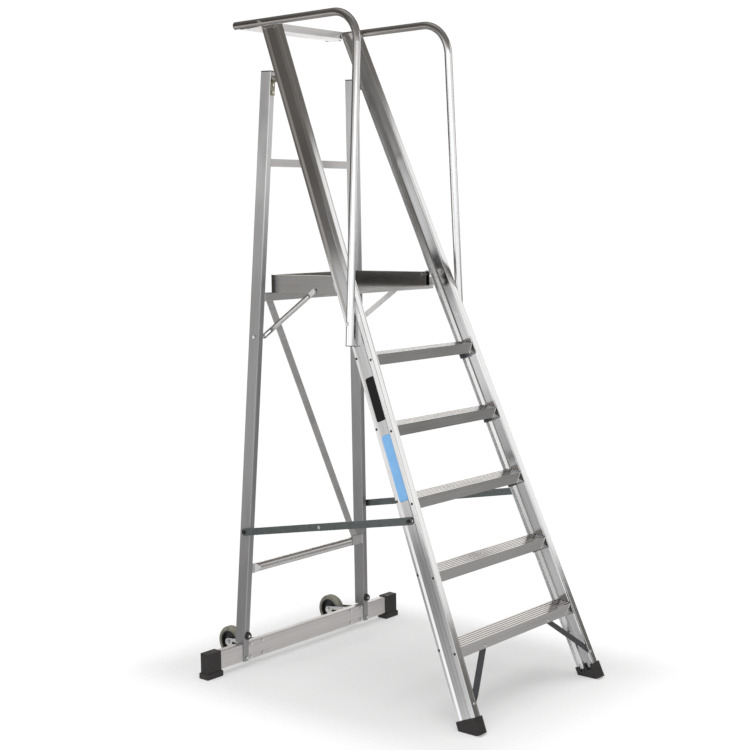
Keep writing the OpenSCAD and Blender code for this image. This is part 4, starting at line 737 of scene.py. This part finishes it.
def soft_light(name, place, target, wide, high, power):
    """Area light at a place, turned to a target and hidden from the camera itself. Its width lies
    level, or along the first axis where it looks steeply down."""
    light = bpy.data.lights.new(name, "AREA")
    light.shape = "RECTANGLE"
    light.size = wide
    light.size_y = high
    light.energy = power
    lamp = bpy.data.objects.new(name, light)
    bpy.context.scene.collection.objects.link(lamp)
    ahead = np.array(target, float) - np.array(place, float)
    ahead /= np.linalg.norm(ahead)
    side = np.cross(ahead, UP if abs(ahead[2]) < STEEP else (0.0, 1.0, 0.0))
    side /= np.linalg.norm(side)
    turn = np.eye(4)
    turn[:3, :3] = np.stack([side, np.cross(side, ahead), -ahead], axis=1)
    turn[:3, 3] = place
    lamp.matrix_world = Matrix(turn.tolist())
    lamp.visible_camera = False
    return lamp


overhead = soft_light("overhead", place=(-0.6, -0.4, 5.2), target=(0.0, 0.0, 0.8),
                      wide=5.0, high=5.0, power=330.0)
overhead.visible_glossy = False
soft_light("front", place=(-3.7, -3.2, 2.45), target=(0.0, 0.0, 1.2),
           wide=5.0, high=1.6, power=24.0)
soft_light("left", place=(-2.65, 1.95, 1.03), target=(0.0, -0.2, 1.03),
           wide=3.2, high=1.55, power=11.2)
soft_light("right", place=(4.6, -3.6, 3.5), target=(0.0, -0.2, 1.2),
           wide=3.4, high=3.8, power=40.0)
soft_light("rear", place=(4.9, 4.2, 2.2), target=(0.0, 0.0, 0.8),
           wide=3.0, high=3.0, power=45.0)

AZIMUTH, ELEVATION, ROLL = -0.862, 0.109, -0.0143
CAMERA_PLACE = (-4.1408, -3.44815, 1.7605)
SENSOR, LENS = 36.0, 67.15

camera_data = bpy.data.cameras.new("camera")
camera_data.sensor_width = SENSOR
camera_data.lens = LENS
camera = bpy.data.objects.new("camera", camera_data)
bpy.context.scene.collection.objects.link(camera)
ahead = np.array([-math.sin(AZIMUTH) * math.cos(ELEVATION), math.cos(AZIMUTH) * math.cos(ELEVATION),
                  -math.sin(ELEVATION)])
level = np.array([math.cos(AZIMUTH), math.sin(AZIMUTH), 0.0])
raised = np.cross(level, ahead)
pose = np.eye(4)
pose[:3, 0] = math.cos(ROLL) * level + math.sin(ROLL) * raised
pose[:3, 1] = -math.sin(ROLL) * level + math.cos(ROLL) * raised
pose[:3, 2] = -ahead
pose[:3, 3] = CAMERA_PLACE
camera.matrix_world = Matrix(pose.tolist())
bpy.context.scene.camera = camera
bpy.context.scene.view_settings.view_transform = "Standard"
